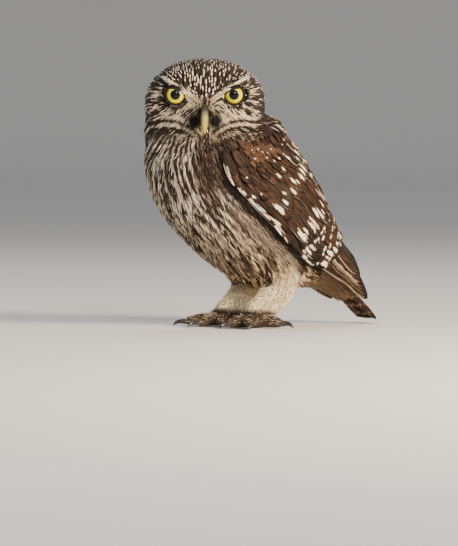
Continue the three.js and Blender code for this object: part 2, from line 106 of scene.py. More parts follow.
FLOOR_REACH, SWEEP, SWEEP_HEIGHT = 9.0, 2.5, 4.0
bpy.ops.mesh.primitive_grid_add(x_subdivisions=60, y_subdivisions=60, size=1)
floor = bpy.context.object
floor.name = floor.data.name = "floor"
for corner in floor.data.vertices:
    across, away = corner.co.x * 2 * FLOOR_REACH, corner.co.y * 2 * FLOOR_REACH
    bend = max(0.0, away - FLOOR_REACH + SWEEP) / SWEEP
    rise = SWEEP_HEIGHT * (1 - math.cos(min(bend, 1) * math.pi / 2))
    behind = from_bird(CAMERA_TURN + math.pi, 0, away)
    spot = behind + from_bird(CAMERA_TURN - math.pi / 2, 0, across)
    corner.co = (spot.x, spot.y, rise)
bpy.ops.object.shade_smooth()
card, shader, add, link = fresh_material("pale_card")
shader.inputs["Roughness"].default_value = 0.8
shade = add("TexNoise", Vector=add("TexCoord").outputs["Object"], Scale=3.0, Detail=3.0)
tone = add("ValToRGB", Fac=shade.outputs["Fac"])
paint_ends(tone, (0.74, 0.715, 0.685), 0.0, (0.79, 0.765, 0.735), 1.0)
link(tone.outputs["Color"], shader.inputs["Base Color"])
floor.data.materials.append(card)


def soft_light(name, turn, rise, away, size, power, colour):
    """A square studio lamp that looks at the bird."""
    lamp = bpy.data.lights.new(name, "AREA")
    lamp.size, lamp.energy, lamp.color = size, power, colour
    carrier = bpy.data.objects.new(name, lamp)
    bpy.context.scene.collection.objects.link(carrier)
    middle = Vector((0, 0, 0.09))
    carrier.location = middle + from_bird(math.radians(turn), math.radians(rise), away)
    carrier.rotation_euler = (middle - carrier.location).to_track_quat("-Z", "Y").to_euler()


soft_light("key_light", 101, 20, 1.3, 0.45, 38, (1.0, 0.85, 0.67))
soft_light("fill_light", -10, 18, 1.5, 0.9, 3.5, (0.80, 0.88, 1.0))
soft_light("top_light", 235, 55, 1.6, 0.9, 8, (1.0, 0.95, 0.9))
soft_light("eye_light", 65, 24, 2.4, 0.24, 18, (1.0, 1.0, 1.0))
world = bpy.data.worlds.new("studio")
world.use_nodes = True
world.node_tree.nodes["Background"].inputs["Color"].default_value = (0.92, 0.95, 1.0, 1)
world.node_tree.nodes["Background"].inputs["Strength"].default_value = 0.40
bpy.context.scene.world = world

# The body under the feathers: one skin over the head, neck, trunk, legs and feet, without a
# seam. It lies inside the bird's outline by the depth of the plumage that grows on it, and the
# arms of the folded wings and the root of the tail are part of it.
MM = 0.001
FOOTPRINT = np.array([0.0, -20.4, 0.0])  # from the bird's own zero to the model's, millimetres
LINE = dict(zip(
    ("y", "z", "lean", "side", "back", "belly", "wing_side", "wing_back"),
    np.array([
        [-28, 150, 86, 34, 36, 36, 35, 38],
        [-26, 126, 77, 39, 47, 43, 39.4, 47.5],
        [-19, 103, 60, 40.5, 47.5, 47, 41.3, 48],
        [7, 78, 46, 41, 43, 46, 42.5, 43.8],
        [31, 54, 39, 35, 37, 35, 39, 38.5],
        [52, 42, 33, 24, 25.5, 20, 31, 28],
        [70, 33, 34, 13, 12, 12, 24, 19],
        [88, 18, 40, 8, 7, 7, 19.5, 12.5],
        [102, 3, 42, 5, 4, 4, 17, 8],
    ]).T,
))
LINE_END = len(LINE["y"]) - 1
TAIL_CORE_START, TAIL_CORE_END = 5.25, 6.9
HEAD_AT = np.array([0.0, -27.8, 147.5])
HEAD_TURN = math.radians(55)
EYE_X, EYE_OUT, EYE_Z = 18.8, 13.6, 3.2
WING_START, WING_PLATE_END, WING_TIP, WING_TOP = 1.3, 5.0, 7.05, 12.0
WING_EDGE, WING_EDGE_TIP = 112.5, 98.0


def smooth(value, start, end):
    """0 before start, 1 after end and an even ease between them."""
    t = np.clip((value - start) / (end - start), 0, 1)
    return t * t * (3 - 2 * t)


def unit(vectors):
    return vectors / np.maximum(np.linalg.norm(vectors, axis=-1, keepdims=True), 1e-9)


def curve_through(values, k):
    """A smooth curve through values, at k counted in values from the first one."""
    last = len(values) - 1
    i = np.clip(np.floor(k).astype(int), 0, last - 1)
    t = (k - i).reshape(k.shape + (1,) * (values.ndim - 1))
    a, b, c, d = (values[np.clip(i + n, 0, last)] for n in (-1, 0, 1, 2))
    square, cubic = 2 * a - 5 * b + 4 * c - d, -a + 3 * b - 3 * c + d
    return 0.5 * (2 * b + (c - a) * t + square * t**2 + cubic * t**3)


def along(column, k):
    """A column of the body line at k."""
    return curve_through(LINE[column], np.asarray(k, float))


def body_frame(k):
    """The middle of the body at k, the way to the tail and the way to the back."""
    lean = np.radians(along("lean", k))
    zero = np.zeros_like(lean)
    centre = np.stack([zero, along("y", k), along("z", k)], -1)
    rear = np.stack([zero, np.cos(lean), -np.sin(lean)], -1)
    back = np.stack([zero, np.sin(lean), np.cos(lean)], -1)
    return centre, rear, back


def round_body(k, phi, side, depth):
    centre, _, back = body_frame(k)
    beside = np.stack([np.sin(phi) * side, np.zeros_like(side), np.zeros_like(side)], -1)
    return centre + back * (np.cos(phi) * depth)[..., None] + beside


def on_body(k, phi, out=0.0):
    """A point of the plumage at angle phi about the body line: 0 is the back, a quarter turn
    the left side."""
    k, phi = np.broadcast_arrays(np.asarray(k, float), np.asarray(phi, float))
    depth = np.where(np.cos(phi) > 0, along("back", k), along("belly", k))
    return round_body(k, phi, along("side", k) + out, depth + out)


def on_wing(k, phi, height=0.0):
    """A point over the surface that the folded wing lies on."""
    k, phi = np.broadcast_arrays(np.asarray(k, float), np.asarray(phi, float))
    return round_body(k, phi, along("wing_side", k) + height, along("wing_back", k) + height)


def wing_edge(k):
    """The angle of the wing's lower edge at k, in degrees."""
    return WING_EDGE + (WING_EDGE_TIP - WING_EDGE) * (k - WING_START) / (WING_TIP - WING_START)


def in_head(points):
    """Points in the head's own frame: x to its left, out of the face, up."""
    x, y, z = np.moveaxis(points - HEAD_AT, -1, 0)
    c, s = math.cos(HEAD_TURN), math.sin(HEAD_TURN)
    return x * c + y * s, x * s - y * c, z


def from_head(x, out, z):
    """The inverse of in_head."""
    c, s = math.cos(HEAD_TURN), math.sin(HEAD_TURN)
    x, out, z = np.broadcast_arrays(*(np.asarray(a, float) for a in (x, out, z)))
    return np.stack([x * c + out * s, x * s - out * c, z], -1) + HEAD_AT


def mesh_piece(name, points, faces):
    """A mesh object from points in the bird's millimetres."""
    mesh = bpy.data.meshes.new(name)
    mesh.from_pydata(((points + FOOTPRINT) * MM).tolist(), [], faces)
    mesh.update()
    piece = bpy.data.objects.new(name, mesh)
    bpy.context.scene.collection.objects.link(piece)
    return piece


def choose(*objects):
    """Selects only these objects, the last one active."""
    bpy.ops.object.select_all(action="DESELECT")
    for piece in objects:
        piece.select_set(True)
    bpy.context.view_layer.objects.active = objects[-1]


def face_outward(piece, weld=None):
    """Turns the faces of a closed piece to the outside, after welding its doubled points."""
    choose(piece)
    bpy.ops.object.mode_set(mode="EDIT")
    bpy.ops.mesh.select_all(action="SELECT")
    if weld:
        bpy.ops.mesh.remove_doubles(threshold=weld)
    bpy.ops.mesh.normals_make_consistent(inside=False)
    bpy.ops.object.mode_set(mode="OBJECT")


def slab(name, over, under):
    """The closed piece between two sheets of rows by columns of points."""
    rows, columns = over.shape[:2]
    count = rows * columns
    at = np.arange(count).reshape(rows, columns)
    faces = []
    for r in range(rows - 1):
        for c in range(columns - 1):
            quad = [at[r, c], at[r + 1, c], at[r + 1, c + 1], at[r, c + 1]]
            faces += [quad, [q + count for q in reversed(quad)]]
    rim = [*at[0, :], *at[1:, -1], *at[-1, -2::-1], *at[-2:0:-1, 0]]
    for a, b in zip(rim, rim[1:] + rim[:1]):
        faces.append([a, b, b + count, a + count])
    return mesh_piece(name, np.concatenate([over.reshape(-1, 3), under.reshape(-1, 3)]), faces)


flesh_nodes = ["head", "neck", "torso"]
for side in ("left", "right"):
    flesh_nodes += [f"{part}_{side}" for part in ("thigh", "shank", "foot")]
    flesh_nodes += [f"toe_{toe}_{side}" for toe in ("inner", "middle", "outer", "hind")]
flesh = []
for node in flesh_nodes:
    copy = bpy.data.objects.new(node + "_form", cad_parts[node].data.copy())
    bpy.context.scene.collection.objects.link(copy)
    copy.data.materials.clear()
    flesh.append(copy)
rows, columns = np.meshgrid(np.linspace(0, 1, 12), np.linspace(0, 2 * math.pi, 25), indexing="ij")
core_k = TAIL_CORE_START + (TAIL_CORE_END - TAIL_CORE_START) * rows
core, middle = on_body(core_k, columns), body_frame(core_k)[0]
flesh.append(slab("tail_root", core, middle + 0.2 * (core - middle)))
for side in (1, -1):
    u, v = np.meshgrid(np.linspace(0, 1, 16), np.linspace(0, 1, 14), indexing="ij")
    bulge = 0.5 * np.abs(2 * v - 1) ** 2.5
    k = WING_START + bulge + (WING_PLATE_END - WING_START - 2 * bulge) * u
    phi = np.radians(WING_TOP + (wing_edge(k) - WING_TOP) * v)
    flip = np.array([side, 1, 1])
    flesh.append(slab("wing_arm", on_wing(k, phi, 0.9) * flip, on_wing(k, phi, -4.0) * flip))
choose(*flesh)
bpy.ops.object.join()
skin = bpy.context.object
skin.name = skin.data.name = "skin"
face_outward(skin, weld=1e-6)
SEAM_FILL, SKIN_VOXEL, FLOOR_GAP = 0.35, 1.15, 0.05


def read_vectors(items, what):
    """The three numbers that each item of a mesh holds."""
    flat = np.empty(len(items) * 3, np.float32)
    items.foreach_get(what, flat)
    return flat.reshape(-1, 3).astype(float)


def points_of(mesh):
    """A mesh's points in the bird's millimetres."""
    return read_vectors(mesh.vertices, "co") / MM - FOOTPRINT


def normals_of(mesh):
    return read_vectors(mesh.vertex_normals, "vector")


def move_points(mesh, points):
    mesh.vertices.foreach_set("co", ((points + FOOTPRINT) * MM).astype(np.float32).ravel())
    mesh.update()


def modify(piece, kind, **settings):
    """Applies a modifier to a piece."""
    modifier = piece.modifiers.new(kind.lower(), kind)
    for name, value in settings.items():
        setattr(modifier, name, value)
    choose(piece)
    bpy.ops.object.modifier_apply(modifier=modifier.name)


def voxel_remesh(piece, size):
    modify(piece, "REMESH", mode="VOXEL", voxel_size=size * MM)


def soften(piece, times, group=""):
    modify(piece, "SMOOTH", iterations=times, factor=0.5, vertex_group=group)


STATIONS, BATCH = np.linspace(0, LINE_END, 129), 8192
STATION_CENTRE, STATION_REAR, _ = body_frame(STATIONS)
station_steps = np.linalg.norm(np.diff(STATION_CENTRE, axis=0), axis=1)
STATION_LENGTH = np.concatenate([[0], np.cumsum(station_steps)])


def body_place(points):
    """Where points lie on the body: k, the angle phi, millimetres along it and out from it."""
    k, last = np.empty(len(points)), len(STATIONS) - 1
    for start in range(0, len(points), BATCH):
        part = points[start : start + BATCH, None, 1:]
        away = part - STATION_CENTRE[None, :, 1:]
        gap = (away * STATION_REAR[None, :, 1:]).sum(-1)
        score = np.abs(gap) + 0.04 * np.linalg.norm(away, axis=-1)
        best = score.argmin(1)
        rows = np.arange(len(best))
        step = STATION_LENGTH[np.minimum(best + 1, last)] - STATION_LENGTH[best]
        nudge = np.clip(gap[rows, best] / np.maximum(step, 0.5), -1, 1)
        k[start : start + BATCH] = STATIONS[best] + nudge * (STATIONS[1] - STATIONS[0])
    k = np.clip(k, 0, LINE_END)
    centre, _, back = body_frame(k)
    upright = ((points - centre) * back).sum(-1)
    side = along("side", k)
    depth = np.where(upright > 0, along("back", k), along("belly", k))
    phi = np.arctan2(points[:, 0] / side, upright / depth)
    reach = np.hypot(points[:, 0], upright)
    surface = np.hypot(np.sin(phi) * side, np.cos(phi) * depth)
    return k, phi, np.interp(k, STATIONS, STATION_LENGTH), reach - surface


def share_along(points, start, end):
    """How far points lie from a line between two places, and their share of the way along it."""
    start, end = np.asarray(start, float), np.asarray(end, float)
    way = end - start
    t = np.clip(((points - start) @ way) / (way @ way), 0, 1)
    return np.linalg.norm(points - start - t[:, None] * way, axis=1), t


def head_share(points):
    """1 on the head, 0 on the body, with the throat between them."""
    return smooth(points[:, 2], 116, 127)


def leg_share(points, out):
    """1 on the thighs, shanks and feet, 0 on the body and the tail."""
    below = 1 - smooth(points[:, 2], 60, 68)
    front = 1 - smooth(points[:, 1], 38, 44)
    return front * np.maximum(below * smooth(out, 0.5, 3.0), 1 - smooth(points[:, 2], 26, 32))


def nape_ruff(points):
    """1 where the plumage of the nape fills the step from the head to the back."""
    _, face, _ = in_head(points)
    return np.exp(-(((points[:, 2] - 130) / 8.5) ** 2)) * (1 - smooth(face, -6, 10))


def coat_depth(points):
    """How far the skin lies inside the bird's outline, in millimetres."""
    k, phi, _, out = body_place(points)
    head, leg = head_share(points), leg_share(points, out)
    x, face, z = in_head(points)
    eye = np.sqrt((np.abs(x) - EYE_X) ** 2 + (face - EYE_OUT) ** 2 + (z - EYE_Z) ** 2)
    bill = np.sqrt(x**2 + (face - 22) ** 2 + ((z + 10) / 1.6) ** 2)
    on_face = smooth(face, 2, 12)
    head_depth = (2.2 - 1.2 * on_face) * smooth(eye, 8.5, 13) * smooth(bill, 4.5, 9) + 0.1
    above_edge = 1 - smooth(np.degrees(np.abs(phi)), 118, 121)
    arm = smooth(out, 0.3, 1.5) * smooth(k, 1.4, 1.7) * above_edge
    body_depth = 2.8 - 2.2 * arm * (1 - leg)
    shank, toes = 1 - smooth(points[:, 2], 28, 40), 1 - smooth(points[:, 2], 8, 13)
    leg_depth = (2.4 - 0.7 * shank - 1.25 * toes) * smooth(points[:, 2], 0.3, 3.0)
    depth = body_depth + (leg_depth - body_depth) * leg
    return depth + (head_depth - depth) * head - 5.0 * nape_ruff(points)


move_points(skin.data, points_of(skin.data) + SEAM_FILL * normals_of(skin.data))
voxel_remesh(skin, SKIN_VOXEL)
points = points_of(skin.data)
inset = (coat_depth(points) + SEAM_FILL)[:, None] * normals_of(skin.data)
move_points(skin.data, points - inset)
soften(skin, 4)
voxel_remesh(skin, SKIN_VOXEL)
soften(skin, 5)
crease = skin.vertex_groups.new(name="nape")
for i, weight in enumerate(nape_ruff(points_of(skin.data))):
    crease.add([i], weight, "REPLACE")
soften(skin, 150, "nape")
skin.vertex_groups.clear()
move_points(skin.data, np.maximum(points_of(skin.data), [-1e3, -1e3, FLOOR_GAP]))
bpy.ops.object.shade_smooth()
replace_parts(skin, *flesh_nodes)
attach(skin, "root")

# The plumage of neck, breast, belly and flanks: soft vanes, set in the skin and lying down the
# body to the tail, each over the roots of the next ones. The pale breast is streaked with dark
# brown along the feathers, the belly is buff, and the strip under the wing is plain grey buff.
draw = np.random.default_rng(20)
skin_points, skin_normals = points_of(skin.data), normals_of(skin.data)
skin.data.calc_loop_triangles()
triangles = np.empty(len(skin.data.loop_triangles) * 3, np.int32)
skin.data.loop_triangles.foreach_get("vertices", triangles)
triangles = triangles.reshape(-1, 3)
skin_tree = BVHTree.FromPolygons(skin_points.tolist(), triangles.tolist(), all_triangles=True)

corners = skin_points[triangles]
spans = np.cross(corners[:, 1] - corners[:, 0], corners[:, 2] - corners[:, 0])
areas = np.linalg.norm(spans, axis=1)
CANDIDATES = 900_000
chosen = draw.choice(len(areas), CANDIDATES, p=areas / areas.sum())
mixing = np.sort(draw.random((len(chosen), 2)), axis=1)
mixing = np.stack([mixing[:, 0], mixing[:, 1] - mixing[:, 0], 1 - mixing[:, 1]], 1)[..., None]
candidates = (corners[chosen] * mixing).sum(1)
candidate_normals = unit((skin_normals[triangles[chosen]] * mixing).sum(1))
candidate_k, candidate_phi, _, candidate_out = body_place(candidates)


def spread_roots(allowed, spacing):
    """Places on the skin about this far apart, among the allowed candidates."""
    index = np.flatnonzero(allowed)
    shift, stride, nearest = 0.37, 4099, 0.62
    cells = np.floor(candidates[index] / spacing + shift).astype(np.int64)
    keys = (cells[:, 0] * stride + cells[:, 1]) * stride + cells[:, 2]
    middle = np.abs(candidates[index] / spacing + shift - cells - 0.5).max(1)
    order = np.lexsort((middle, keys))
    first = np.concatenate([[True], np.diff(keys[order]) != 0])
    index = index[order[first]]
    points, tree = candidates[index], KDTree(len(index))
    for i, point in enumerate(points):
        tree.insert(point, i)
    tree.balance()
    dropped = np.zeros(len(index), bool)
    for i, point in enumerate(points):
        if not dropped[i]:
            for _, j, _ in tree.find_range(point, spacing * nearest):
                dropped[j] |= j > i
    return index[~dropped]


def flat_on(normals, way):
    """The way as it runs along a surface."""
    return unit(way - (way * normals).sum(-1, keepdims=True) * normals)


def face_lie(points):
    """How the head's feathers lie: away from the bill and the eyes, over the crown and down."""
    x, out, z = in_head(points)
    way = np.zeros((len(points), 3))
    sources = [(0, 24, -6, 1.5), (EYE_X, 18, EYE_Z, 1.0), (-EYE_X, 18, EYE_Z, 1.0)]
    for at_x, at_out, at_z, strength in sources:
        away = np.stack([x - at_x, out - at_out, z - at_z], 1)
        way += strength * away / np.maximum((away**2).sum(1), 9.0)[:, None]
    way = unit(way)
    behind = 1 - smooth(out, -12, 6)
    low = 1 - smooth(z, -26, -14)
    way[:, 2] -= 1.1 * behind + 0.7 * low
    way[:, 1] -= 0.4 * behind
    return from_head(*way.T) - HEAD_AT


SOLES = {"left": np.array([16.0, -2.0, 0]), "right": np.array([-16.0, -2.0, 0])}


def leg_lie(points):
    """Down the thigh to the heel, forward down the shank, and out along the toes."""
    side = np.sign(points[:, 0])
    upright = points * np.stack([side, np.ones_like(side), np.ones_like(side)], 1)
    thigh, _ = share_along(upright, (21, 5, 62), (19, 23, 31))
    shank, _ = share_along(upright, (18, 22, 31), (16.4, -1, 9))
    lean = smooth(thigh - shank, -5, 5)[:, None]
    down_thigh, down_shank = unit(np.array([[-2.0, 14, -32], [-1.6, -20, -22]]))
    way = (1 - lean) * down_thigh + lean * down_shank
    sole = np.where(side[:, None] > 0, SOLES["left"], SOLES["right"])
    outward = unit((points - sole) * np.array([1, 1, 0]))
    foot = 1 - smooth(points[:, 2], 8, 13)
    way = way * np.stack([side, np.ones_like(side), np.ones_like(side)], 1)
    return way * (1 - foot)[:, None] + outward * foot[:, None]


def lie_at(points, normals):
    """The way a feather lies at points of the skin."""
    k, phi, _, out = body_place(points)
    head, leg = head_share(points)[:, None], leg_share(points, out)[:, None]
    body = body_frame(k)[1]
    way = body + (leg_lie(points) - body) * leg
    way = way + (face_lie(points) - way) * head
    return flat_on(normals, way)


def walk(roots, normals, lengths, steps, stray, lie=lie_at):
    """Paths over the skin from the roots along the lie, each turned by its own stray angle."""
    points, ups = [roots], [normals]
    step = (lengths / (steps - 1))[:, None]
    cos, sin = np.cos(stray)[:, None], np.sin(stray)[:, None]
    for _ in range(steps - 1):
        way = lie(points[-1], ups[-1])
        way = way * cos + np.cross(ups[-1], way) * sin
        found = [skin_tree.find_nearest(Vector(p)) for p in points[-1] + way * step]
        points.append(np.array([f[0] for f in found]))
        ups.append(unit(0.6 * np.array([f[1] for f in found]) + 0.4 * ups[-1]))
    return np.stack(points, 1), np.stack(ups, 1)


SOFT_COLUMNS = 3


def lay(name, paths, ups, widths, outline, ridge, roll, columns=SOFT_COLUMNS, mirror=False,
        fray=0.0):
    """Closed vanes along paths, as one piece: rows across each path, widest where outline is 1
    and raised by ridge along the middle. It keeps how far along and across each point lies."""
    count, rows = paths.shape[:2]
    ways = unit(np.gradient(paths, axis=1))
    beside = unit(np.cross(ups, ways))
    over = np.cross(ways, beside)
    cos, sin = np.cos(roll)[:, None, None], np.sin(roll)[:, None, None]
    beside, over = beside * cos + over * sin, over * cos - beside * sin
    u = np.linspace(-1, 1, columns)
    half = 0.5 * widths[:, None] * outline * (1 + fray * draw.normal(0, 1, (count, rows)))
    across = half[:, :, None, None] * u[None, None, :, None] * beside[:, :, None, :]
    ridge = np.broadcast_to(ridge, half.shape)[:, :, None, None]
    lift = ridge * (1 - u**2)[:, None] * over[:, :, None, :]
    points = paths[:, :, None, :] + across + lift
    points[..., 2] = np.maximum(points[..., 2], FLOOR_GAP)
    per = rows * columns
    grid = np.arange(per).reshape(rows, columns)
    a, b = grid[:-1, :-1].ravel(), grid[1:, :-1].ravel()
    top = np.stack([a, b, b + 1, a + 1], 1)
    left, right = grid[:, 0], grid[:, -1]
    under = np.stack([left[:-1], right[:-1], right[1:], left[1:]], 1)
    quads = np.concatenate([top, under])
    ends = np.stack([grid[0], grid[-1][::-1]])
    if mirror:
        points = points * np.array([-1, 1, 1])
        quads, ends = quads[:, ::-1], ends[:, ::-1]
    loops = np.concatenate([quads.ravel(), ends.ravel()])
    sizes = np.concatenate([np.full(len(quads), 4), np.full(2, columns)])
    starts = np.concatenate([[0], np.cumsum(sizes)[:-1]])
    rounded = np.concatenate([np.ones(len(top), bool), np.zeros(len(under) + 2, bool)])
    feather = np.arange(count)[:, None]
    corner_points = (loops + feather * per).astype(np.int32).ravel()
    face_starts = (starts + feather * len(loops)).astype(np.int32).ravel()
    metres = ((points.reshape(-1, 3) + FOOTPRINT) * MM).astype(np.float32).ravel()
    mesh = bpy.data.meshes.new(name)
    mesh.vertices.add(count * per)
    mesh.vertices.foreach_set("co", metres)
    mesh.loops.add(count * len(loops))
    mesh.loops.foreach_set("vertex_index", corner_points)
    mesh.polygons.add(count * len(sizes))
    mesh.polygons.foreach_set("loop_start", face_starts)
    mesh.polygons.foreach_set("use_smooth", np.tile(rounded, count))
    mesh.update(calc_edges=True)
    mesh.validate()
    steps = np.linalg.norm(np.diff(paths, axis=1), axis=2)
    t = np.concatenate([np.zeros((count, 1)), np.cumsum(steps, 1)], 1)
    shape = (count, rows, columns)
    v = np.broadcast_to((t / t[:, -1:])[..., None], shape)
    across = np.broadcast_to(u, shape)
    grain = np.broadcast_to(draw.random(count)[:, None, None], shape)
    down = np.broadcast_to(t[..., None], shape)
    keep(mesh, "vane", np.stack([across, v, grain], -1))
    keep(mesh, "reach", np.stack([across * half[..., None], down, grain], -1))
    piece = bpy.data.objects.new(name, mesh)
    bpy.context.scene.collection.objects.link(piece)
    return piece


def keep(mesh, name, values):
    """Keeps three numbers for each point of a mesh under a name that its material reads."""
    layer = mesh.attributes.new(name, "FLOAT_VECTOR", "POINT")
    layer.data.foreach_set("vector", np.asarray(values, np.float32).reshape(-1))


PATCH = 0.0015  # half the size of a feather's patch on the map


def patches(piece, places):
    """The OFBake map: each feather is a small patch at its root's place on the unrolled skin."""
    mesh = piece.data
    vane = read_vectors(mesh.attributes["vane"].data, "vector").reshape(len(places), -1, 3)
    spots = places[:, None, :] + PATCH * np.stack([vane[..., 0], 2 * vane[..., 1] - 1], -1)
    index = np.empty(len(mesh.loops), np.int32)
    mesh.loops.foreach_get("vertex_index", index)
    layer = mesh.uv_layers.new(name="OFBake")
    layer.data.foreach_set("uv", spots.reshape(-1, 2)[index].astype(np.float32).ravel())


PALE_BREAST, BUFF_BELLY = np.array([0.72, 0.61, 0.47]), np.array([0.97, 0.69, 0.39])
BREAST_STREAK, BELLY_STREAK = np.array([0.040, 0.023, 0.014]), np.array([0.038, 0.018, 0.009])
NECK_BROWN_AND_SHADE, FLANK_BUFF = np.array([0.034, 0.017, 0.010]), np.array([0.23, 0.17, 0.118])
BACK_BROWN, RUMP_BROWN = np.array([0.080, 0.038, 0.019]), np.array([0.15, 0.080, 0.042])
UNDER_WING_SHADOW, VENT_BROWN = np.array([0.020, 0.013, 0.009]), np.array([0.26, 0.165, 0.095])
JITTER_SIZE = 64
streak_jitter = np.random.default_rng(7).random((JITTER_SIZE, JITTER_SIZE, 3))


def streaks(way, around, length, spacing, share):
    """Dark marks along the feathers, one down the middle of each feather's place: 0 to 1."""
    dark = np.zeros_like(way)
    for row_step in (-1, 0, 1):
        row = np.floor(way / length).astype(int) + row_step
        for column_step in (-1, 0, 1):
            offset = 0.5 * (row % 2)
            column = np.floor(around / spacing - offset).astype(int) + column_step
            shift = streak_jitter[row % JITTER_SIZE, column % JITTER_SIZE]
            e = way / length - (row + 0.5 + 0.6 * (shift[:, 0] - 0.5))
            d = around / spacing - (column + 0.5 + offset + 0.5 * (shift[:, 1] - 0.5))
            width = share * (0.7 + 0.6 * shift[:, 2])
            width = width * smooth(e, -1.0, 0.1) * (1 - smooth(e, 0.25, 0.75))
            dark = np.maximum(dark, 1 - smooth(np.abs(d), 0.75 * width, 1.15 * width + 0.02))
    return dark


def tinted(first, second, share):
    """The first colour, with a share of the second at each place."""
    return first + (second - first) * share[:, None]


def body_colour(points, grain=None):
    """The plumage's colour at points of the skin below the head, whatever the feather's grain."""
    k, phi, way, out = body_place(points)
    degrees = np.degrees(np.abs(phi))
    around = phi * 0.5 * (along("side", k) + along("belly", k))
    low = smooth(k, 2.0, 3.9)
    pale, ink = tinted(PALE_BREAST, BUFF_BELLY, low), tinted(BREAST_STREAK, BELLY_STREAK, low)
    fine = streaks(way, around, 9.0, 4.4, 0.32)
    broad = streaks(way, around, 18.0, 6.4, 0.38)
    marks = fine + (broad - fine) * low
    under = tinted(tinted(pale, ink, marks), VENT_BROWN, smooth(k, 4.6, 5.2))
    # The side of the neck between breast and wing: dark brown with pale flecks, and darker still as
    # painted shade of the gap there.
    neck = smooth(degrees, 88, 96) * (1 - smooth(degrees, 132, 146)) * (1 - smooth(k, 1.75, 2.3))
    flecks = streaks(way + 3, around, 6.0, 5.0, 0.13)
    under = tinted(under, tinted(NECK_BROWN_AND_SHADE, FLANK_BUFF, 0.5 * flecks), 0.98 * neck)
    edge = degrees - wing_edge(k)
    flank = smooth(edge, 4, 9) * (1 - smooth(edge, 13, 20))
    flank = flank * smooth(k, 1.9, 2.9) * (1 - smooth(k, 3.7, 4.3))
    under = tinted(under, FLANK_BUFF, 0.95 * flank)
    # Painted shadow: a dark band just under the wing's lower edge, where the folded wing shades the
    # flank.
    shadow = smooth(edge, -10, -4) * (1 - smooth(edge, 3, 9))
    shadow = shadow * smooth(k, 1.5, 1.9) * (1 - smooth(k, 5.0, 5.7))
    under = tinted(under, UNDER_WING_SHADOW, 0.95 * shadow)
    upper = tinted(BACK_BROWN, RUMP_BROWN, smooth(k, 4.6, 5.4))
    rear = smooth(k, 4.5, 5.5)
    below = smooth(degrees, 88 + 12 * rear, 104 + 6 * rear)
    coat = tinted(upper, under, below)
    leg = leg_share(points, out)
    return tinted(coat, leg_colour(points), leg)


LEG_CREAM, LEG_BUFF = np.array([0.93, 0.77, 0.50]), np.array([0.66, 0.46, 0.27])
TOE_BROWN = np.array([0.085, 0.050, 0.028])


def leg_colour(points):
    """Buff thighs, cream shanks and brown bristly toes."""
    shank = 1 - smooth(points[:, 2], 36, 46)
    colour = tinted(LEG_BUFF, LEG_CREAM, shank)
    return tinted(colour, TOE_BROWN, 1 - smooth(points[:, 2], 8.5, 13))


def kept(add, what):
    """The three numbers that each point of a mesh keeps under a name."""
    return add("Attribute", {"attribute_name": what}).outputs["Vector"]


def roughen(shader, add, link, height, strength, depth):
    """Fine relief in the surface, from the height of a pattern."""
    bump = add("Bump", Height=height, Strength=strength, Distance=depth)
    link(bump.outputs["Normal"], shader.inputs["Normal"])


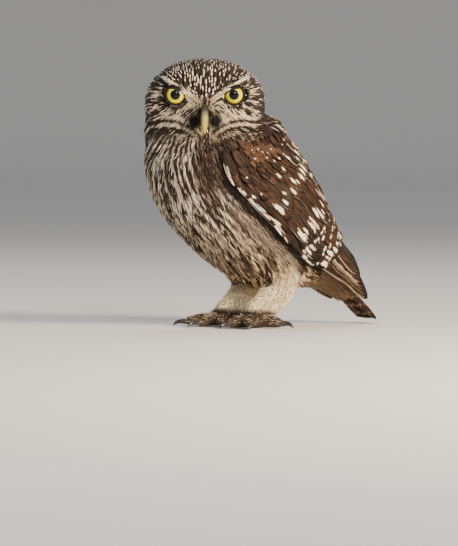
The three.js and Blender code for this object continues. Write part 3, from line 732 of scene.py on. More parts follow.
def plumage_material(name, roughness, sheen, strand, shaft_and_rim_depth):
    """Feather vanes: a ground colour, and a spot, bars or a rim of the mark colour, all on each
    vane's own measures. Strands run along it and fine barbs out from its darker rachis,
    and its sides and tip are darkened as painted shade."""
    material, shader, add, link = fresh_material(name)

    def maths(operation, first, second=0.0):
        return add("Math", {"operation": operation}, _0=first, _1=second).outputs[0]

    def plus(first, second):
        return maths("ADD", first, second)

    def minus(first, second):
        return maths("SUBTRACT", first, second)

    def times(first, second):
        return maths("MULTIPLY", first, second)

    def ease(value, start, end):
        node = add("MapRange", {"interpolation_type": "SMOOTHSTEP"}, Value=value)
        node.inputs["From Min"].default_value = start
        node.inputs["From Max"].default_value = end
        return node.outputs["Result"]

    def parts(what):
        node = add("SeparateXYZ", Vector=kept(add, what))
        return [node.outputs[axis] for axis in "XYZ"]

    def noise(x, y, z, scale, detail):
        place = add("CombineXYZ", X=x, Y=y, Z=z).outputs[0]
        return add("TexNoise", Vector=place, Scale=scale, Detail=detail).outputs["Fac"]

    u, v, grain = parts("vane")
    across, down, _ = parts("reach")
    spot_u, spot_v, _ = parts("spot")
    spot_wide, spot_long, _ = parts("spread")
    bar_count, bar_share, edging = parts("bars")
    outward, beside = maths("ABSOLUTE", across), maths("ABSOLUTE", u)
    slant = times(minus(times(down, 0.8), outward), 2.6)
    barb_place = (slant, times(outward, 0.35), times(grain, 80.0))
    barbs = noise(*barb_place, 1.0, 2.0)
    tufts = noise(*barb_place, 0.7, 1.0)
    strands = noise(times(across, 0.85), times(down, 0.11), times(grain, 50.0), 1.0, 3.0)
    ragged = plus(times(minus(tufts, 0.5), 1.3), times(minus(strands, 0.5), 2.4))

    du = maths("DIVIDE", minus(u, spot_u), maths("MAXIMUM", spot_wide, 0.001))
    dv = maths("DIVIDE", minus(v, spot_v), maths("MAXIMUM", spot_long, 0.001))
    du = times(du, minus(1.25, times(ease(dv, -1.4, 1.0), 0.45)))
    away = maths("SQRT", plus(times(du, du), times(dv, dv)))
    spot = minus(1.0, ease(plus(away, ragged), 0.75, 1.15))
    spot = times(spot, maths("GREATER_THAN", spot_wide, 0.01))

    wave = maths("FRACT", plus(times(v, bar_count), times(grain, 0.3)))
    wave = plus(maths("ABSOLUTE", minus(wave, 0.5)), times(ragged, 0.12))
    bar = ease(minus(times(bar_share, 0.5), wave), -0.04, 0.04)
    bar = times(bar, times(ease(beside, 0.12, 0.5), maths("GREATER_THAN", bar_count, 0.5)))
    rim = ease(minus(minus(edging, 1.0), u), -0.08, 0.08)
    rim = times(rim, maths("GREATER_THAN", edging, 0.01))
    marked = maths("MAXIMUM", spot, maths("MAXIMUM", bar, rim))

    veins = plus(1 - 0.5 * strand, times(ease(strands, 0.34, 0.66), strand))
    veins = plus(veins, times(marked, times(minus(1.0, veins), 0.7)))
    shaft_and_rim_shade = minus(1.0, ease(outward, 0.05, 0.28))
    # Painted shade: the vane is darkened toward its sides and its tip, as deep as along its darker
    # middle line.
    edge = ease(maths("MAXIMUM", beside, minus(times(v, 4.0), 3.0)), 0.62, 1.0)
    shaft_and_rim_shade = times(maths("MAXIMUM", shaft_and_rim_shade, edge), minus(1.0, marked))
    shade = times(times(plus(0.62, times(barbs, 0.76)), veins), minus(1.0, times(shaft_and_rim_shade, shaft_and_rim_depth)))
    colour = add("MixRGB", Fac=marked, Color1=kept(add, "ground"), Color2=kept(add, "mark"))
    shaded = add("MixRGB", {"blend_type": "MULTIPLY"}, Fac=1.0, Color1=colour, Color2=shade)
    link(shaded.outputs[0], shader.inputs["Base Color"])
    roughen(shader, add, link, barbs, 0.45, 0.0003)
    shader.inputs["Roughness"].default_value = roughness
    shader.inputs["Specular IOR Level"].default_value = 0.15
    shader.inputs["Sheen Weight"].default_value = sheen
    shader.inputs["Sheen Roughness"].default_value = 0.45
    return material


soft_plumage = plumage_material("soft_plumage", 0.85, 0.06, 0.5, 0.0)


MAP_EDGE = 0.02


def on_map(across, up):
    """Places on the map, a little in from its edges, from shares of its width and height."""
    return MAP_EDGE + (1 - 2 * MAP_EDGE) * np.stack([across, up], 1)


def unrolled(points):
    """Places of the body on the map, by the angle round it and the way along it."""
    k, phi, _, _ = body_place(points)
    return on_map(phi / (2 * math.pi) + 0.5, k / LINE_END)


def unrolled_head(points):
    """Places of the head on the map, unrolled about its upright line."""
    x, out, z = in_head(points)
    turn = np.arctan2(x, out) / (2 * math.pi) + 0.5
    rise = np.arctan2(z, np.hypot(x, out)) / math.pi + 0.5
    return on_map(turn, rise)


LEG_X, LEG_Y, LEG_TOP = 17.5, 12, 75  # the middle line of a leg, and its top


def unrolled_legs(points):
    """Places of the two legs on the map, unrolled side by side."""
    side = np.sign(points[:, 0])
    turn = np.arctan2(points[:, 0] - LEG_X * side, LEG_Y - points[:, 1]) / (2 * math.pi) + 0.5
    places = on_map(turn, points[:, 2] / LEG_TOP)
    places[:, 0] = MAP_EDGE + 0.25 * (1 + side) + 0.44 * turn
    return places


SOFT_OUTLINE = np.array([0.55, 1.0, 0.9, 0.55, 0.08])
ROOT_SINK = 0.5  # how deep the roots are set in the skin


def given(measure, roots):
    """A measure at each root, whether it is one value or a function of the place."""
    return measure(roots) if callable(measure) else measure


def grow(allowed, spacing, length, rows, vary, stray, lie=lie_at):
    """The roots of vanes over a part of the skin, their sizes, and their paths over it."""
    index = spread_roots(allowed, spacing)
    roots, normals = candidates[index], candidate_normals[index]
    size = 1 + vary * (2 * draw.random(len(index)) - 1)
    lengths = given(length, roots) * size
    paths, ups = walk(roots, normals, lengths, rows, draw.normal(0, stray, len(index)), lie)
    return roots, size, paths, ups


def raised(paths, ups, top, power):
    """The paths as the vanes take them, from roots in the skin up to the tips over it."""
    share = np.linspace(0, 1, paths.shape[1]) ** power
    height = -ROOT_SINK + (top[:, None] + ROOT_SINK) * share
    return paths + ups * height[..., None]


def finish_coat(piece, places):
    """The map, the material and the place in the frame of a piece of small vanes."""
    patches(piece, places)
    piece.data.materials.append(soft_plumage)
    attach(piece, "root")


def soft_coat(name, allowed, spacing, length, width, depth, colour, places, stray=0.16,
              outline=SOFT_OUTLINE, lie=lie_at, grain_at=None, plain=False):
    """One piece of small soft vanes over a part of the skin, each of one colour if they are
    plain, or else with a colour for each of its rows. Measures are in millimetres."""
    rows = len(outline)
    roots, size, paths, ups = grow(allowed, spacing, length, rows, 0.25, stray, lie)
    count = len(roots)
    top = depth * (0.75 + 0.5 * draw.random(count))
    grain = draw.random(count)
    if grain_at is not None:
        grain = 0.3 * grain + 0.7 * grain_at(roots)
    if plain:
        ground = np.repeat(colour(paths[:, 1], grain)[:, None], rows, 1)
    else:
        ground = colour(paths.reshape(-1, 3), np.repeat(grain, rows)).reshape(paths.shape)
    ground = ground * (0.80 + 0.40 * draw.random(count))[:, None, None]
    piece = lay(name, raised(paths, ups, top, 0.75), ups, width * size, outline, 0.16 * width,
                draw.normal(0, 0.22, count))
    for label in ("ground", "mark"):
        keep(piece.data, label, np.repeat(ground[:, :, None], SOFT_COLUMNS, 2))
    finish_coat(piece, places(roots))


candidate_degrees = np.degrees(np.abs(candidate_phi))
on_head = head_share(candidates) > 0.5
on_leg = (leg_share(candidates, candidate_out) > 0.5) & ~on_head
under_wing = (candidate_degrees < wing_edge(candidate_k) - 4) & (candidate_degrees > 15)
under_wing &= (candidate_k > 1.55) & (candidate_k < 4.5)
on_trunk = ~on_head & ~on_leg & ~under_wing
on_breast = on_trunk & (candidate_k < 2.6) & (candidate_degrees > 90)
on_belly = on_trunk & (candidate_k >= 2.6) & (candidate_degrees > 90)
soft_coat("breast_feathers", on_breast, 1.4, 8.6, 1.35, 2.7, body_colour, unrolled,
          stray=0.09, plain=True)
soft_coat("belly_feathers", on_belly, 1.55, 10.0, 1.55, 2.9, body_colour, unrolled,
          stray=0.09, plain=True)

# The feathers of the face: short hair-like vanes that spread from the bill and the eyes over the
# two discs. Pale brows run in a V over the eyes, black bristles sit beside the bill, dark and
# pale lines sweep from its corners to the rim, and the chin is cream.
FACE_CREAM, FACE_DARK = np.array([0.86, 0.70, 0.49]), np.array([0.032, 0.019, 0.013])
FACE_TAN, BRISTLE_BLACK = np.array([0.42, 0.26, 0.14]), np.array([0.008, 0.006, 0.006])
CROWN_BROWN, CROWN_SPOT = np.array([0.028, 0.015, 0.010]), np.array([0.80, 0.68, 0.52])
FACE_LANES, LANE_STEP = 9.0, 6.0  # streaks for each radian of turn, a streak's length


def brow_line(x):
    """The height of the brows' pale line over the middle of the head."""
    return 0.8 + 0.62 * (np.abs(x) - 5)


def face_streak(points):
    """A number, 0 to 1, for the streak of the face that each point belongs to. The streaks run
    out from the bill and the eyes, as the feathers do."""
    x, _, z = in_head(points)
    turn = 1.5 * np.arctan2(z + 6, x)
    for eye in (-EYE_X, EYE_X):
        turn = turn + np.arctan2(z - EYE_Z, x - eye)
    away = np.minimum(np.hypot(np.abs(x) - EYE_X, z - EYE_Z), np.hypot(x, z + 6))
    lane = np.floor(turn * FACE_LANES).astype(int)
    jitter = streak_jitter[lane % JITTER_SIZE]
    step = np.floor(away / LANE_STEP + jitter[:, 0, 0]).astype(int) % JITTER_SIZE
    return 0.38 * (lane % 2) + 0.62 * jitter[np.arange(len(step)), step, 1]


def cream_share(x, z):
    """How many of the face's feathers are cream at a place on it, from 0 to 1."""
    wide, over_brow = np.abs(x), z - brow_line(x)
    share = np.full_like(x, 0.42)
    eye = np.hypot(wide - EYE_X, z - EYE_Z)

    def toward(value, weight):
        return share + (value - share) * weight

    share = toward(0.25, smooth(np.hypot(x / 39.5, (z + 3) / 27), 0.84, 0.93))
    share = toward(0.54, np.exp(-(((wide - 22) / 7) ** 2) - ((z + 8) / 3.5) ** 2))
    share = toward(0.90, np.exp(-(((wide - 8) / 3.4) ** 2) - ((z - 1) / 5.0) ** 2))
    arch = -13.3 - 0.0235 * (wide - 24) ** 2
    arches = ((-2.6, 0.95, 1.2), (0.0, 0.0, 1.2), (2.6, 0.9, 1.1), (5.0, 0.08, 1.1))
    for lower, value, half in arches:
        line = np.exp(-(((z - arch + lower) / half) ** 2))
        share = toward(value, line * smooth(wide, 2, 5) * (1 - smooth(wide, 29, 35)))
    share = toward(0.50, (1 - smooth(wide, 7, 12)) * (1 - smooth(z, -25, -22.5)))
    share = toward(0.12, np.exp(-(((eye - 8.2) / 1.5) ** 2)) * smooth(wide, 12, 15))
    share = toward(0.02, np.exp(-((wide - 12.6) ** 2 + (z + 0.6) ** 2) / 2.6))
    over_eye = smooth(wide, 14, 17) * (1 - smooth(wide, 26, 34))
    share = toward(0.10, smooth(over_brow, -5.5, -2.5) * over_eye)
    half = 1.35 - 0.45 * smooth(wide, 8, 16)
    brow = np.exp(-((over_brow / half) ** 2)) * smooth(wide, 2, 5) * (1 - smooth(wide, 28, 34))
    share = toward(1.0, np.clip(1.4 * brow, 0, 1))
    return toward(0.0, smooth(over_brow, 1.3, 2.2) * smooth(z, 2.0, 3.5))


def black_share(x, z):
    """How black the bristles beside the bill are, and the bare corner of each eye."""
    beside_bill = np.exp(-(((np.abs(x) - 6.8) / 4.2) ** 2) - ((z + 13.5) / 6.2) ** 2)
    corner = np.exp(-((np.abs(x) - 12.6) ** 2 + (z + 0.6) ** 2) / 2.2)
    under_crown = 0.8 * np.exp(-((x / 1.6) ** 2) - ((z - 0.5) / 2.5) ** 2)
    return np.clip(1.4 * np.maximum(np.maximum(beside_bill, corner), under_crown), 0, 1)


def head_colour(points, grain):
    """The colour of the head's feathers: on the face each one is cream or dark by its grain."""
    x, out, z = in_head(points)
    share = cream_share(x, z)
    tan = np.exp(-(((np.abs(x) - 4) / 5) ** 2) - ((z - 1) / 4) ** 2)
    tan = np.maximum(tan, 0.7 * (1 - smooth(np.abs(x), 8, 14)) * (1 - smooth(z, -24, -21)))
    pale = tinted(FACE_CREAM, FACE_TAN, 0.8 * tan)
    mixed = tinted(FACE_DARK, pale, smooth(share - grain, -0.05, 0.05))
    mixed = tinted(mixed, BRISTLE_BLACK, black_share(x, z) * smooth(1.15 - grain, 0.0, 0.3))
    side = tinted(CROWN_BROWN, CROWN_SPOT, 0.7 * smooth(0.34 - grain, -0.04, 0.04))
    face = tinted(side, mixed, smooth(out, 2, 7))
    return tinted(body_colour(points, grain), face, head_share(points))


def brow_lie(points, normals):
    """Outward and up, along the brow."""
    x, _, _ = in_head(points)
    return flat_on(normals, from_head(np.sign(x), -0.3, 0.62) - HEAD_AT)


def bristle_lie(points, normals):
    """Down beside the bill and a little outward."""
    x, _, z = in_head(points)
    apart = np.sign(x) * (0.15 + 0.55 * smooth(-z, 6, 14))
    return flat_on(normals, from_head(apart, 0.3, -1.0) - HEAD_AT)


FACE_OUTLINE = np.array([0.6, 1.0, 0.75, 0.1])
BRISTLE_OUTLINE = np.array([1.0, 0.8, 0.45, 0.08])
head_x, head_out, head_z = in_head(candidates)
head_wide, over_brow = np.abs(head_x), head_z - brow_line(head_x)
eye_flat = np.hypot(head_wide - EYE_X, head_z - EYE_Z)
eye_gap = np.hypot(eye_flat, head_out - EYE_OUT - 5)
bill_gap = np.hypot(head_x / 3.2, (head_z + 10) / 8.0)
clear = (eye_gap > 7.2) & (bill_gap > 0.95)
on_face = on_head & (head_out > 4) & (over_brow < 0.9) & clear
near_brow = on_face & (over_brow > -1.6) & (head_wide < 33) & (head_wide > 1.5)


def face_length(points):
    """Short under the brows, so that the crown's first feathers stay clear."""
    x, _, z = in_head(points)
    return 5.2 - 3.0 * smooth(z - brow_line(x), -4.5, -1.5) * (1 - smooth(np.abs(x), 12, 18))


soft_coat("face_feathers", on_face & ~near_brow, 1.0, face_length, 0.85, 1.1, head_colour,
          unrolled_head, stray=0.06, outline=FACE_OUTLINE, grain_at=face_streak)
soft_coat("brow_feathers", near_brow, 1.0, 6.0, 0.85, 1.7, head_colour, unrolled_head,
          stray=0.06, outline=FACE_OUTLINE, lie=brow_lie)
beside_bill = on_head & (head_out > 14) & (bill_gap > 0.85) & (bill_gap < 1.75)
beside_bill &= (head_z > -15) & (head_z < 1.5)
soft_coat("bill_bristles", beside_bill, 0.95, 7.5, 0.6, 4.2, head_colour, unrolled_head,
          stray=0.22, outline=BRISTLE_OUTLINE, lie=bristle_lie)

# Crown, nape and upper back: small dark brown feathers, each with a cream drop on its end, in
# rows that run back from the bill. The drops grow larger and paler down the nape.
VANE_OUTLINE = np.array([0.5, 0.9, 1.0, 0.82, 0.25])


def spot_spread(size, stretch):
    """The reach of a vane's spot, across and along it."""
    return np.stack([0.42 * size, 0.15 * size * stretch, np.zeros_like(size)], 1)


def vane_coat(name, allowed, spacing, length, width, depth, ground, mark, drop, stretch, places):
    """One piece of small firm vanes over a part of the skin, with a drop near each tip."""
    rows, columns = len(VANE_OUTLINE), 5
    roots, size, paths, ups = grow(allowed, spacing, length, rows, 0.16, 0.1)
    count = len(roots)
    top = given(depth, roots) * (0.85 + 0.3 * draw.random(count))
    widths = given(width, roots) * size
    piece = lay(name, raised(paths, ups, top, 0.8), ups, widths, VANE_OUTLINE,
                0.12 * widths[:, None], draw.normal(0, 0.12, count), columns)
    shade = (0.8 + 0.4 * draw.random(count))[:, None]
    spot = [draw.normal(0, 0.08, count), draw.normal(0.72, 0.04, count), np.zeros(count)]
    drops = drop(roots) * (0.75 + 0.5 * draw.random(count))
    looks = {
        "ground": given(ground, roots) * shade,
        "mark": np.broadcast_to(given(mark, roots), roots.shape),
        "spot": np.stack(spot, 1),
        "spread": spot_spread(drops, stretch),
    }
    for label, values in looks.items():
        keep(piece.data, label, np.repeat(values, rows * columns, 0))
    finish_coat(piece, places(roots))


on_crown = on_head & ~on_face & (eye_gap > 8) & ((over_brow > 0.9) | (head_out <= 4))
on_crown &= ~((head_z < 9) & (head_out > -7) & (head_wide > 20))
on_side = on_head & ~on_crown & ~on_face & (eye_gap > 8) & (bill_gap > 0.95)
on_back = on_trunk & (candidate_degrees <= 90) & (candidate_k < 3)
on_shoulder = on_trunk & (candidate_k < 1.3) & (candidate_degrees < 104) & (candidate_phi < 0)
on_rump = on_trunk & (candidate_degrees <= 90) & (candidate_k >= 3)


def nape_share(points):
    """0 over the crown, 1 down the nape."""
    _, out, z = in_head(points)
    return (1 - smooth(out, -16, -2)) * (1 - smooth(z, -4, 10))


def crown_share(points):
    """0 along the brows, where the feathers are shortest, 1 over the crown."""
    x, out, z = in_head(points)
    return np.maximum(smooth(z - brow_line(x), 2, 11), 1 - smooth(out, -4, 6))


def nape_fill(points):
    """Where the plumage fills the crease between the head and the back."""
    return np.exp(-(((points[:, 2] - 121) / 8) ** 2))


def crown_drops(points):
    """The size of the crown's drops. One feather in four has none."""
    size = 0.92 - 0.38 * smooth(in_head(points)[2], 5, 22)
    return size * (draw.random(len(points)) < 0.75) + 0.2 * nape_share(points)


def back_drops(points):
    """The size of the back's drops, smaller at the sides, where the wings' own ones begin."""
    size = 1.2 * (draw.random(len(points)) < 0.7)
    return size * (1 - 0.75 * smooth(np.abs(points[:, 0]), 12, 22))


vane_coat(
    "crown_feathers", on_crown, 2.45,
    lambda p: 3.4 + 3.0 * crown_share(p) + 4.4 * nape_share(p),
    lambda p: 2.1 + 0.6 * crown_share(p) + 2.4 * nape_share(p),
    lambda p: 1.4 + 0.5 * crown_share(p) + 1.5 * nape_fill(p),
    lambda p: tinted(CROWN_BROWN, BACK_BROWN, nape_share(p)),
    lambda p: tinted(CROWN_SPOT, 0.62 * CROWN_SPOT, smooth(in_head(p)[2], 12, 22)),
    crown_drops, 2.1, unrolled_head,
)
soft_coat("cheek_feathers", on_side, 1.5, 7.0, 1.3, 1.9, head_colour, unrolled_head,
          stray=0.12, grain_at=face_streak)
vane_coat(
    "back_feathers", on_back | on_shoulder, 3.4, 11.5, 6.0, lambda p: 3.0 + 2.0 * nape_fill(p),
    BACK_BROWN, CROWN_SPOT, back_drops, 1.3, unrolled,
)
soft_coat("rump_feathers", on_rump, 2.0, 11.0, 2.2, 2.6, body_colour, unrolled, plain=True)

# The wings, folded: firm flight feathers in tiers over the wing's arm, the coverts over their
# roots and the scapulars on top. They are rich brown with white drops on the coverts and the
# scapulars, buff bars on the flight feathers and a white line along the lower edge.
WING_BROWN, PRIMARY_BROWN = np.array([0.033, 0.0158, 0.0084]), np.array([0.024, 0.0120, 0.0070])
WING_WHITE, WING_BUFF = np.array([0.84, 0.71, 0.53]), np.array([0.50, 0.34, 0.20])
firm_plumage = plumage_material("firm_plumage", 0.72, 0.0, 1.35, 0.6)
FIRM_ROWS, FIRM_COLUMNS, FIRM_THICKNESS = 12, 7, 0.25
PATCH_ROW = 6  # the row of a firm feather that gives its place on the map
firm_t = 1 - (1 - np.linspace(0, 1, FIRM_ROWS)) ** 1.6
rounded_tip = np.sqrt(1 - 0.985 * np.clip((firm_t - 0.6) / 0.4, 0, 1) ** 2.2)
FIRM_OUTLINE = np.minimum(0.55 + 1.3 * firm_t, 1) * rounded_tip


def tier(count, width, root, tip, height, ground, mark, spot=(0, 0, 0), stretch=1.0,
         bars=(0, 0, 0), chance=1.0, edge=None):
    """A row of like feathers. root and tip are (k, degrees above the wing's lower edge) of its
    first feather and of its last, and the others lie evenly between them. spot is its place
    across and along the vane, and its size, for a chance of the feathers. bars are their
    number, their width and the rim of the vane's side, with another rim on the first feather."""
    s = np.linspace(0, 1, count)[:, None]

    def between(pair):
        first, end = (np.atleast_1d(np.asarray(p, float)) for p in pair)
        return first + (end - first) * s

    size = spot[2] * (0.45 + 0.75 * draw.random(count)) * (draw.random(count) < chance)
    spots = np.array([spot[0], spot[1], 0]) + draw.normal(0, [0.12, 0.035, 0], (count, 3))
    stripes = np.broadcast_to(np.asarray(bars, float), (count, 3)).copy()
    stripes[:, 2] *= 0.4 + 0.9 * draw.random(count)
    if edge is not None:
        stripes[0, 2] = edge
    shade = 0.68 + 0.64 * draw.random((count, 1))
    warmth = 1 + draw.normal(0, 1, (count, 1)) * np.array([0.08, 0, -0.08])
    return dict(
        root=between(root) + draw.normal(0, [0.03, 1.0], (count, 2)),
        tip=between(tip) + draw.normal(0, [0.05, 1.3], (count, 2)),
        height=between(height),
        width=width * (0.88 + 0.24 * draw.random((count, 1))),
        ground=ground * (shade * warmth),
        mark=np.broadcast_to(mark, (count, 3)),
        spot=spots,
        spread=spot_spread(size, stretch),
        bars=stripes,
    )


def wing_tiers():
    """The tiers of one wing, from the lowest to the one on top."""
    tiers = [
        # primaries
        tier(9, 10.5, ((4.3, 6), (4.3, 42)), ((7.05, 4), (6.15, 30)), (0.9, 3.0),
             PRIMARY_BROWN, WING_BUFF, bars=(0, 0, 0.24), edge=0.22),
        # secondaries
        tier(12, 10.5, ((3.4, 12), (3.4, 88)), ((4.9, 10), (5.25, 86)), (2.5, 3.2),
             WING_BROWN, WING_WHITE, (-0.5, 0.84, 0.75), 0.7, bars=(5, 0.16, 0), chance=0.6),
        # coverts of the primaries
        tier(4, 8.5, ((2.9, 4), (3.1, 16)), ((4.6, 3), (4.3, 12)), (2.8, 3.2),
             PRIMARY_BROWN, WING_WHITE, (-0.75, 0.72, 0.55), 0.9, bars=(2, 0.1, 0)),
        # greater coverts
        tier(13, 9.0, ((2.5, 14), (2.5, 84)), ((3.85, 12), (4.15, 86)), (3.3, 3.6),
             WING_BROWN, WING_WHITE, (-0.35, 0.8, 0.9), 0.75, bars=(0, 0, 0.12), chance=0.95),
        # median coverts
        tier(12, 8.5, ((1.8, 16), (1.8, 80)), ((3.0, 14), (3.2, 80)), (3.8, 3.9),
             WING_BROWN, WING_WHITE, (-0.3, 0.78, 0.85), 0.75, bars=(0, 0, 0.08), chance=0.9),
        # feathers of the thumb
        tier(3, 6.0, ((2.2, 2), (2.2, 8)), ((3.5, 1), (3.3, 7)), (3.2, 3.6),
             PRIMARY_BROWN, WING_WHITE, edge=0.1),
    ]
    # lesser coverts, row by row up to the shoulder
    for row, k in enumerate((2.0, 1.8, 1.62, 1.46, 1.32)):
        level = 4.0 + 0.08 * row
        tiers.append(tier(15, 6.4, ((k, 5), (k, 98)), ((k + 0.56, 4), (k + 0.56, 98)),
                          (level, level), WING_BROWN, WING_WHITE, (0.0, 0.72, 0.65), 1.2,
                          chance=0.5 - 0.1 * row))
    # the white line along the lower edge
    tiers.append(tier(16, 1.6, ((1.36, 2.5), (3.0, 2.0)), ((1.85, 1.5), (3.5, 0.5)), (4.3, 3.5),
                      0.80 * WING_WHITE, WING_WHITE))
    # scapulars
    for row, (k, up) in enumerate(((2.5, 84), (2.15, 80), (1.8, 76), (1.5, 72))):
        level = 4.4 + 0.2 * row
        tiers.append(tier(7, 8.6, ((k, up - 14), (k - 0.1, 103)),
                          ((k + 1.2, up - 18), (k + 1.1, 102)), (level, level),
                          WING_BROWN, WING_WHITE, (-0.5, 0.74, 0.8), 0.9,
                          bars=(0, 0, 0.14), chance=0.85))
    return tiers


def firm_feathers(name, tiers, paths, ups, places, round_about=44.0, mirror=False):
    """One piece of firm feathers from the tiers' measures and each feather's path. They are
    domed as if laid round a body of a radius."""
    merged = {key: np.concatenate([t[key] for t in tiers]) for key in tiers[0]}
    widths = merged["width"]
    dome = FIRM_THICKNESS + (widths / 2) ** 2 / (2 * round_about)
    piece = lay(name, paths, ups, widths[:, 0], FIRM_OUTLINE, dome * FIRM_OUTLINE**1.5,
                draw.normal(0, 0.035, len(paths)), FIRM_COLUMNS, mirror, fray=0.045)
    for label in ("ground", "mark", "spot", "spread", "bars"):
        keep(piece.data, label, np.repeat(merged[label], FIRM_ROWS * FIRM_COLUMNS, 0))
    patches(piece, places)
    piece.data.materials.append(firm_plumage)
    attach(piece, "root")
    return piece


ROOT_LEVEL, SETTLE = 0.8, 0.35  # how far over the wing's surface, and how much less for all
WING_ANGLE = 125  # degrees up the wing that fill the map
for side in ("left", "right"):
    tiers = wing_tiers()
    root, tip, height = (
        np.concatenate([t[key] for t in tiers]) for key in ("root", "tip", "height")
    )
    k = root[:, :1] + (tip[:, :1] - root[:, :1]) * firm_t
    up = root[:, 1:] + (tip[:, 1:] - root[:, 1:]) * firm_t
    phi = np.radians(wing_edge(k) - up)
    rise = ROOT_LEVEL + (height - ROOT_LEVEL) * firm_t**0.7 - SETTLE
    paths = on_wing(k, phi, rise)
    ups = unit(on_wing(k, phi, rise + 1) - paths)
    places = on_map(up[:, PATCH_ROW] / WING_ANGLE, k[:, PATCH_ROW] / LINE_END)
    wing = firm_feathers(f"wing_feathers_{side}", tiers, paths, ups, places, mirror=side == "right")
    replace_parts(wing, f"wing_{side}")


# The tail: twelve stiff brown feathers with pale bars, the middle pair on top, under short
# coverts above and long buff ones below.
TAIL_ROOT_AT, TAIL_TIP_AT = np.array([58.0, 45.0]), np.array([107.5, 2.2])
TAIL_HALF, TAIL_LENGTH = 13.5, TAIL_TIP_AT - TAIL_ROOT_AT
TAIL_BROWN, TAIL_BAR = np.array([0.075, 0.040, 0.022]), np.array([0.36, 0.25, 0.155])


def on_tail(s, x, height):
    """A point over the tail: s runs from its root to its tip and x to the bird's left."""
    way = unit(TAIL_LENGTH)
    level = height - 1.2 * (x / TAIL_HALF) ** 2
    y = TAIL_ROOT_AT[0] + TAIL_LENGTH[0] * s - way[1] * level
    z = TAIL_ROOT_AT[1] + TAIL_LENGTH[1] * s + way[0] * level
    return np.stack(np.broadcast_arrays(x, y, z), -1)


def tail_tier(count, width, start, root_x, tip_x, root_level, end, tip_level, ground, mark,
              spot, bars):
    """A row of tail feathers or coverts, with the measures of a wing's tier and a path."""
    place, nowhere = np.linspace(-1, 1, count)[:, None], ((0, 0), (0, 0))
    row = tier(count, width, nowhere, nowhere, (0, 0), ground, mark, spot, bars=bars)
    s = start + (end(place) - start) * firm_t
    x = (root_x + (tip_x - root_x) * firm_t) * place
    level = root_level + (tip_level(place) - root_level) * firm_t
    row["path"] = on_tail(s, x, level)
    return row


tail_tiers = [
    # coverts below
    tail_tier(7, 9.0, 0.05, 4, 7.0, -4.3, lambda p: 0.60 - 0.1 * p**2, lambda p: -2.4 + 0 * p,
              VENT_BROWN, BELLY_STREAK, (0, 0.6, 0.9), (0, 0, 0)),
    # the twelve long feathers
    tail_tier(12, 8.5, 0.1, 4, 9.6, 0.3, lambda p: 1 - 0.06 * p**2,
              lambda p: 1.0 - 2.4 * np.abs(p), TAIL_BROWN, TAIL_BAR, (0, 0, 0), (7, 0.20, 0)),
    # coverts above
    tail_tier(7, 9.5, 0.05, 4, 6.8, 1.4, lambda p: 0.56 - 0.08 * p**2, lambda p: 1.9 + 0 * p,
              BACK_BROWN, WING_WHITE, (0, 0.78, 0.8), (0, 0, 0)),
]
paths = np.concatenate([t.pop("path") for t in tail_tiers])
tail_up = np.broadcast_to(on_tail(0.5, 0.0, 1.0) - on_tail(0.5, 0.0, 0.0), paths.shape)
feather_share = np.linspace(0.05, 0.95, len(paths))
places = np.stack([0.5 + paths[:, PATCH_ROW, 0] / 40, feather_share], 1)
tail = firm_feathers("tail_feathers", tail_tiers, paths, tail_up, places, round_about=90.0)
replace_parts(tail, "tail")

# The legs: cream down-like feathers over thigh and shank, thinning to brown bristles over the
# toes, which lie forward along each toe.
TOES_TOP = 10.5
on_shank = on_leg & (candidates[:, 2] > TOES_TOP)
on_toes = on_leg & (candidates[:, 2] <= TOES_TOP) & (candidate_normals[:, 2] > -0.25)
soft_coat("leg_feathers", on_shank, 1.15, 5.2, 1.0, 2.1, body_colour, unrolled_legs, stray=0.14)


def toe_colour(points, grain):
    """Brown bristles with some pale ones among them."""
    return tinted(TOE_BROWN, LEG_CREAM, 0.75 * smooth(grain, 0.72, 0.8))


soft_coat("toe_bristles", on_toes, 1.0, 3.2, 0.55, 0.9, toe_colour, unrolled_legs, stray=0.35,
          outline=BRISTLE_OUTLINE)


# The eyes: large fixed globes under the brows, each with a bright yellow iris, a round black
# pupil and a wet clear front that bulges a little.
EYE_RADIUS, PUPIL_RADIUS = 8.0, 3.3
eye_finish, shader, add, link = fresh_material("eye")
gaze = add("SeparateXYZ", Vector=kept(add, "gaze")).outputs
outward = add("Math", {"operation": "MULTIPLY"}, _0=gaze["X"], _1=0.12)
fibre_place = add("CombineXYZ", X=gaze["Y"], Y=gaze["Z"], Z=outward)
fibres = add("TexNoise", Vector=fibre_place, Scale=7.0, Detail=3.0)
iris = add("MixRGB", Fac=fibres.outputs["Fac"],
           Color1=(0.50, 0.43, 0.006, 1), Color2=(0.92, 0.80, 0.012, 1))
reach = add("Math", {"operation": "DIVIDE"}, _0=gaze["X"], _1=EYE_RADIUS)
rings = add("ValToRGB", Fac=reach)
pupil_rim, blur = PUPIL_RADIUS / EYE_RADIUS, 0.012
paint_ends(rings, (0, 0, 0), pupil_rim - blur, (1, 1, 1), pupil_rim + blur)
for place, value in ((0.62, 1.0), (0.685, 0.45), (0.73, 0.0)):
    rings.color_ramp.elements.new(place).color = (value, value, value, 1)
eye_colour = add("MixRGB", Fac=rings.outputs["Color"],
                 Color1=(0.004, 0.003, 0.003, 1), Color2=iris)
link(eye_colour.outputs[0], shader.inputs["Base Color"])
shader.inputs["Roughness"].default_value = 0.35
shader.inputs["Specular IOR Level"].default_value = 0.05
shader.inputs["Coat Weight"].default_value = 0.35
shader.inputs["Coat Roughness"].default_value = 0.03


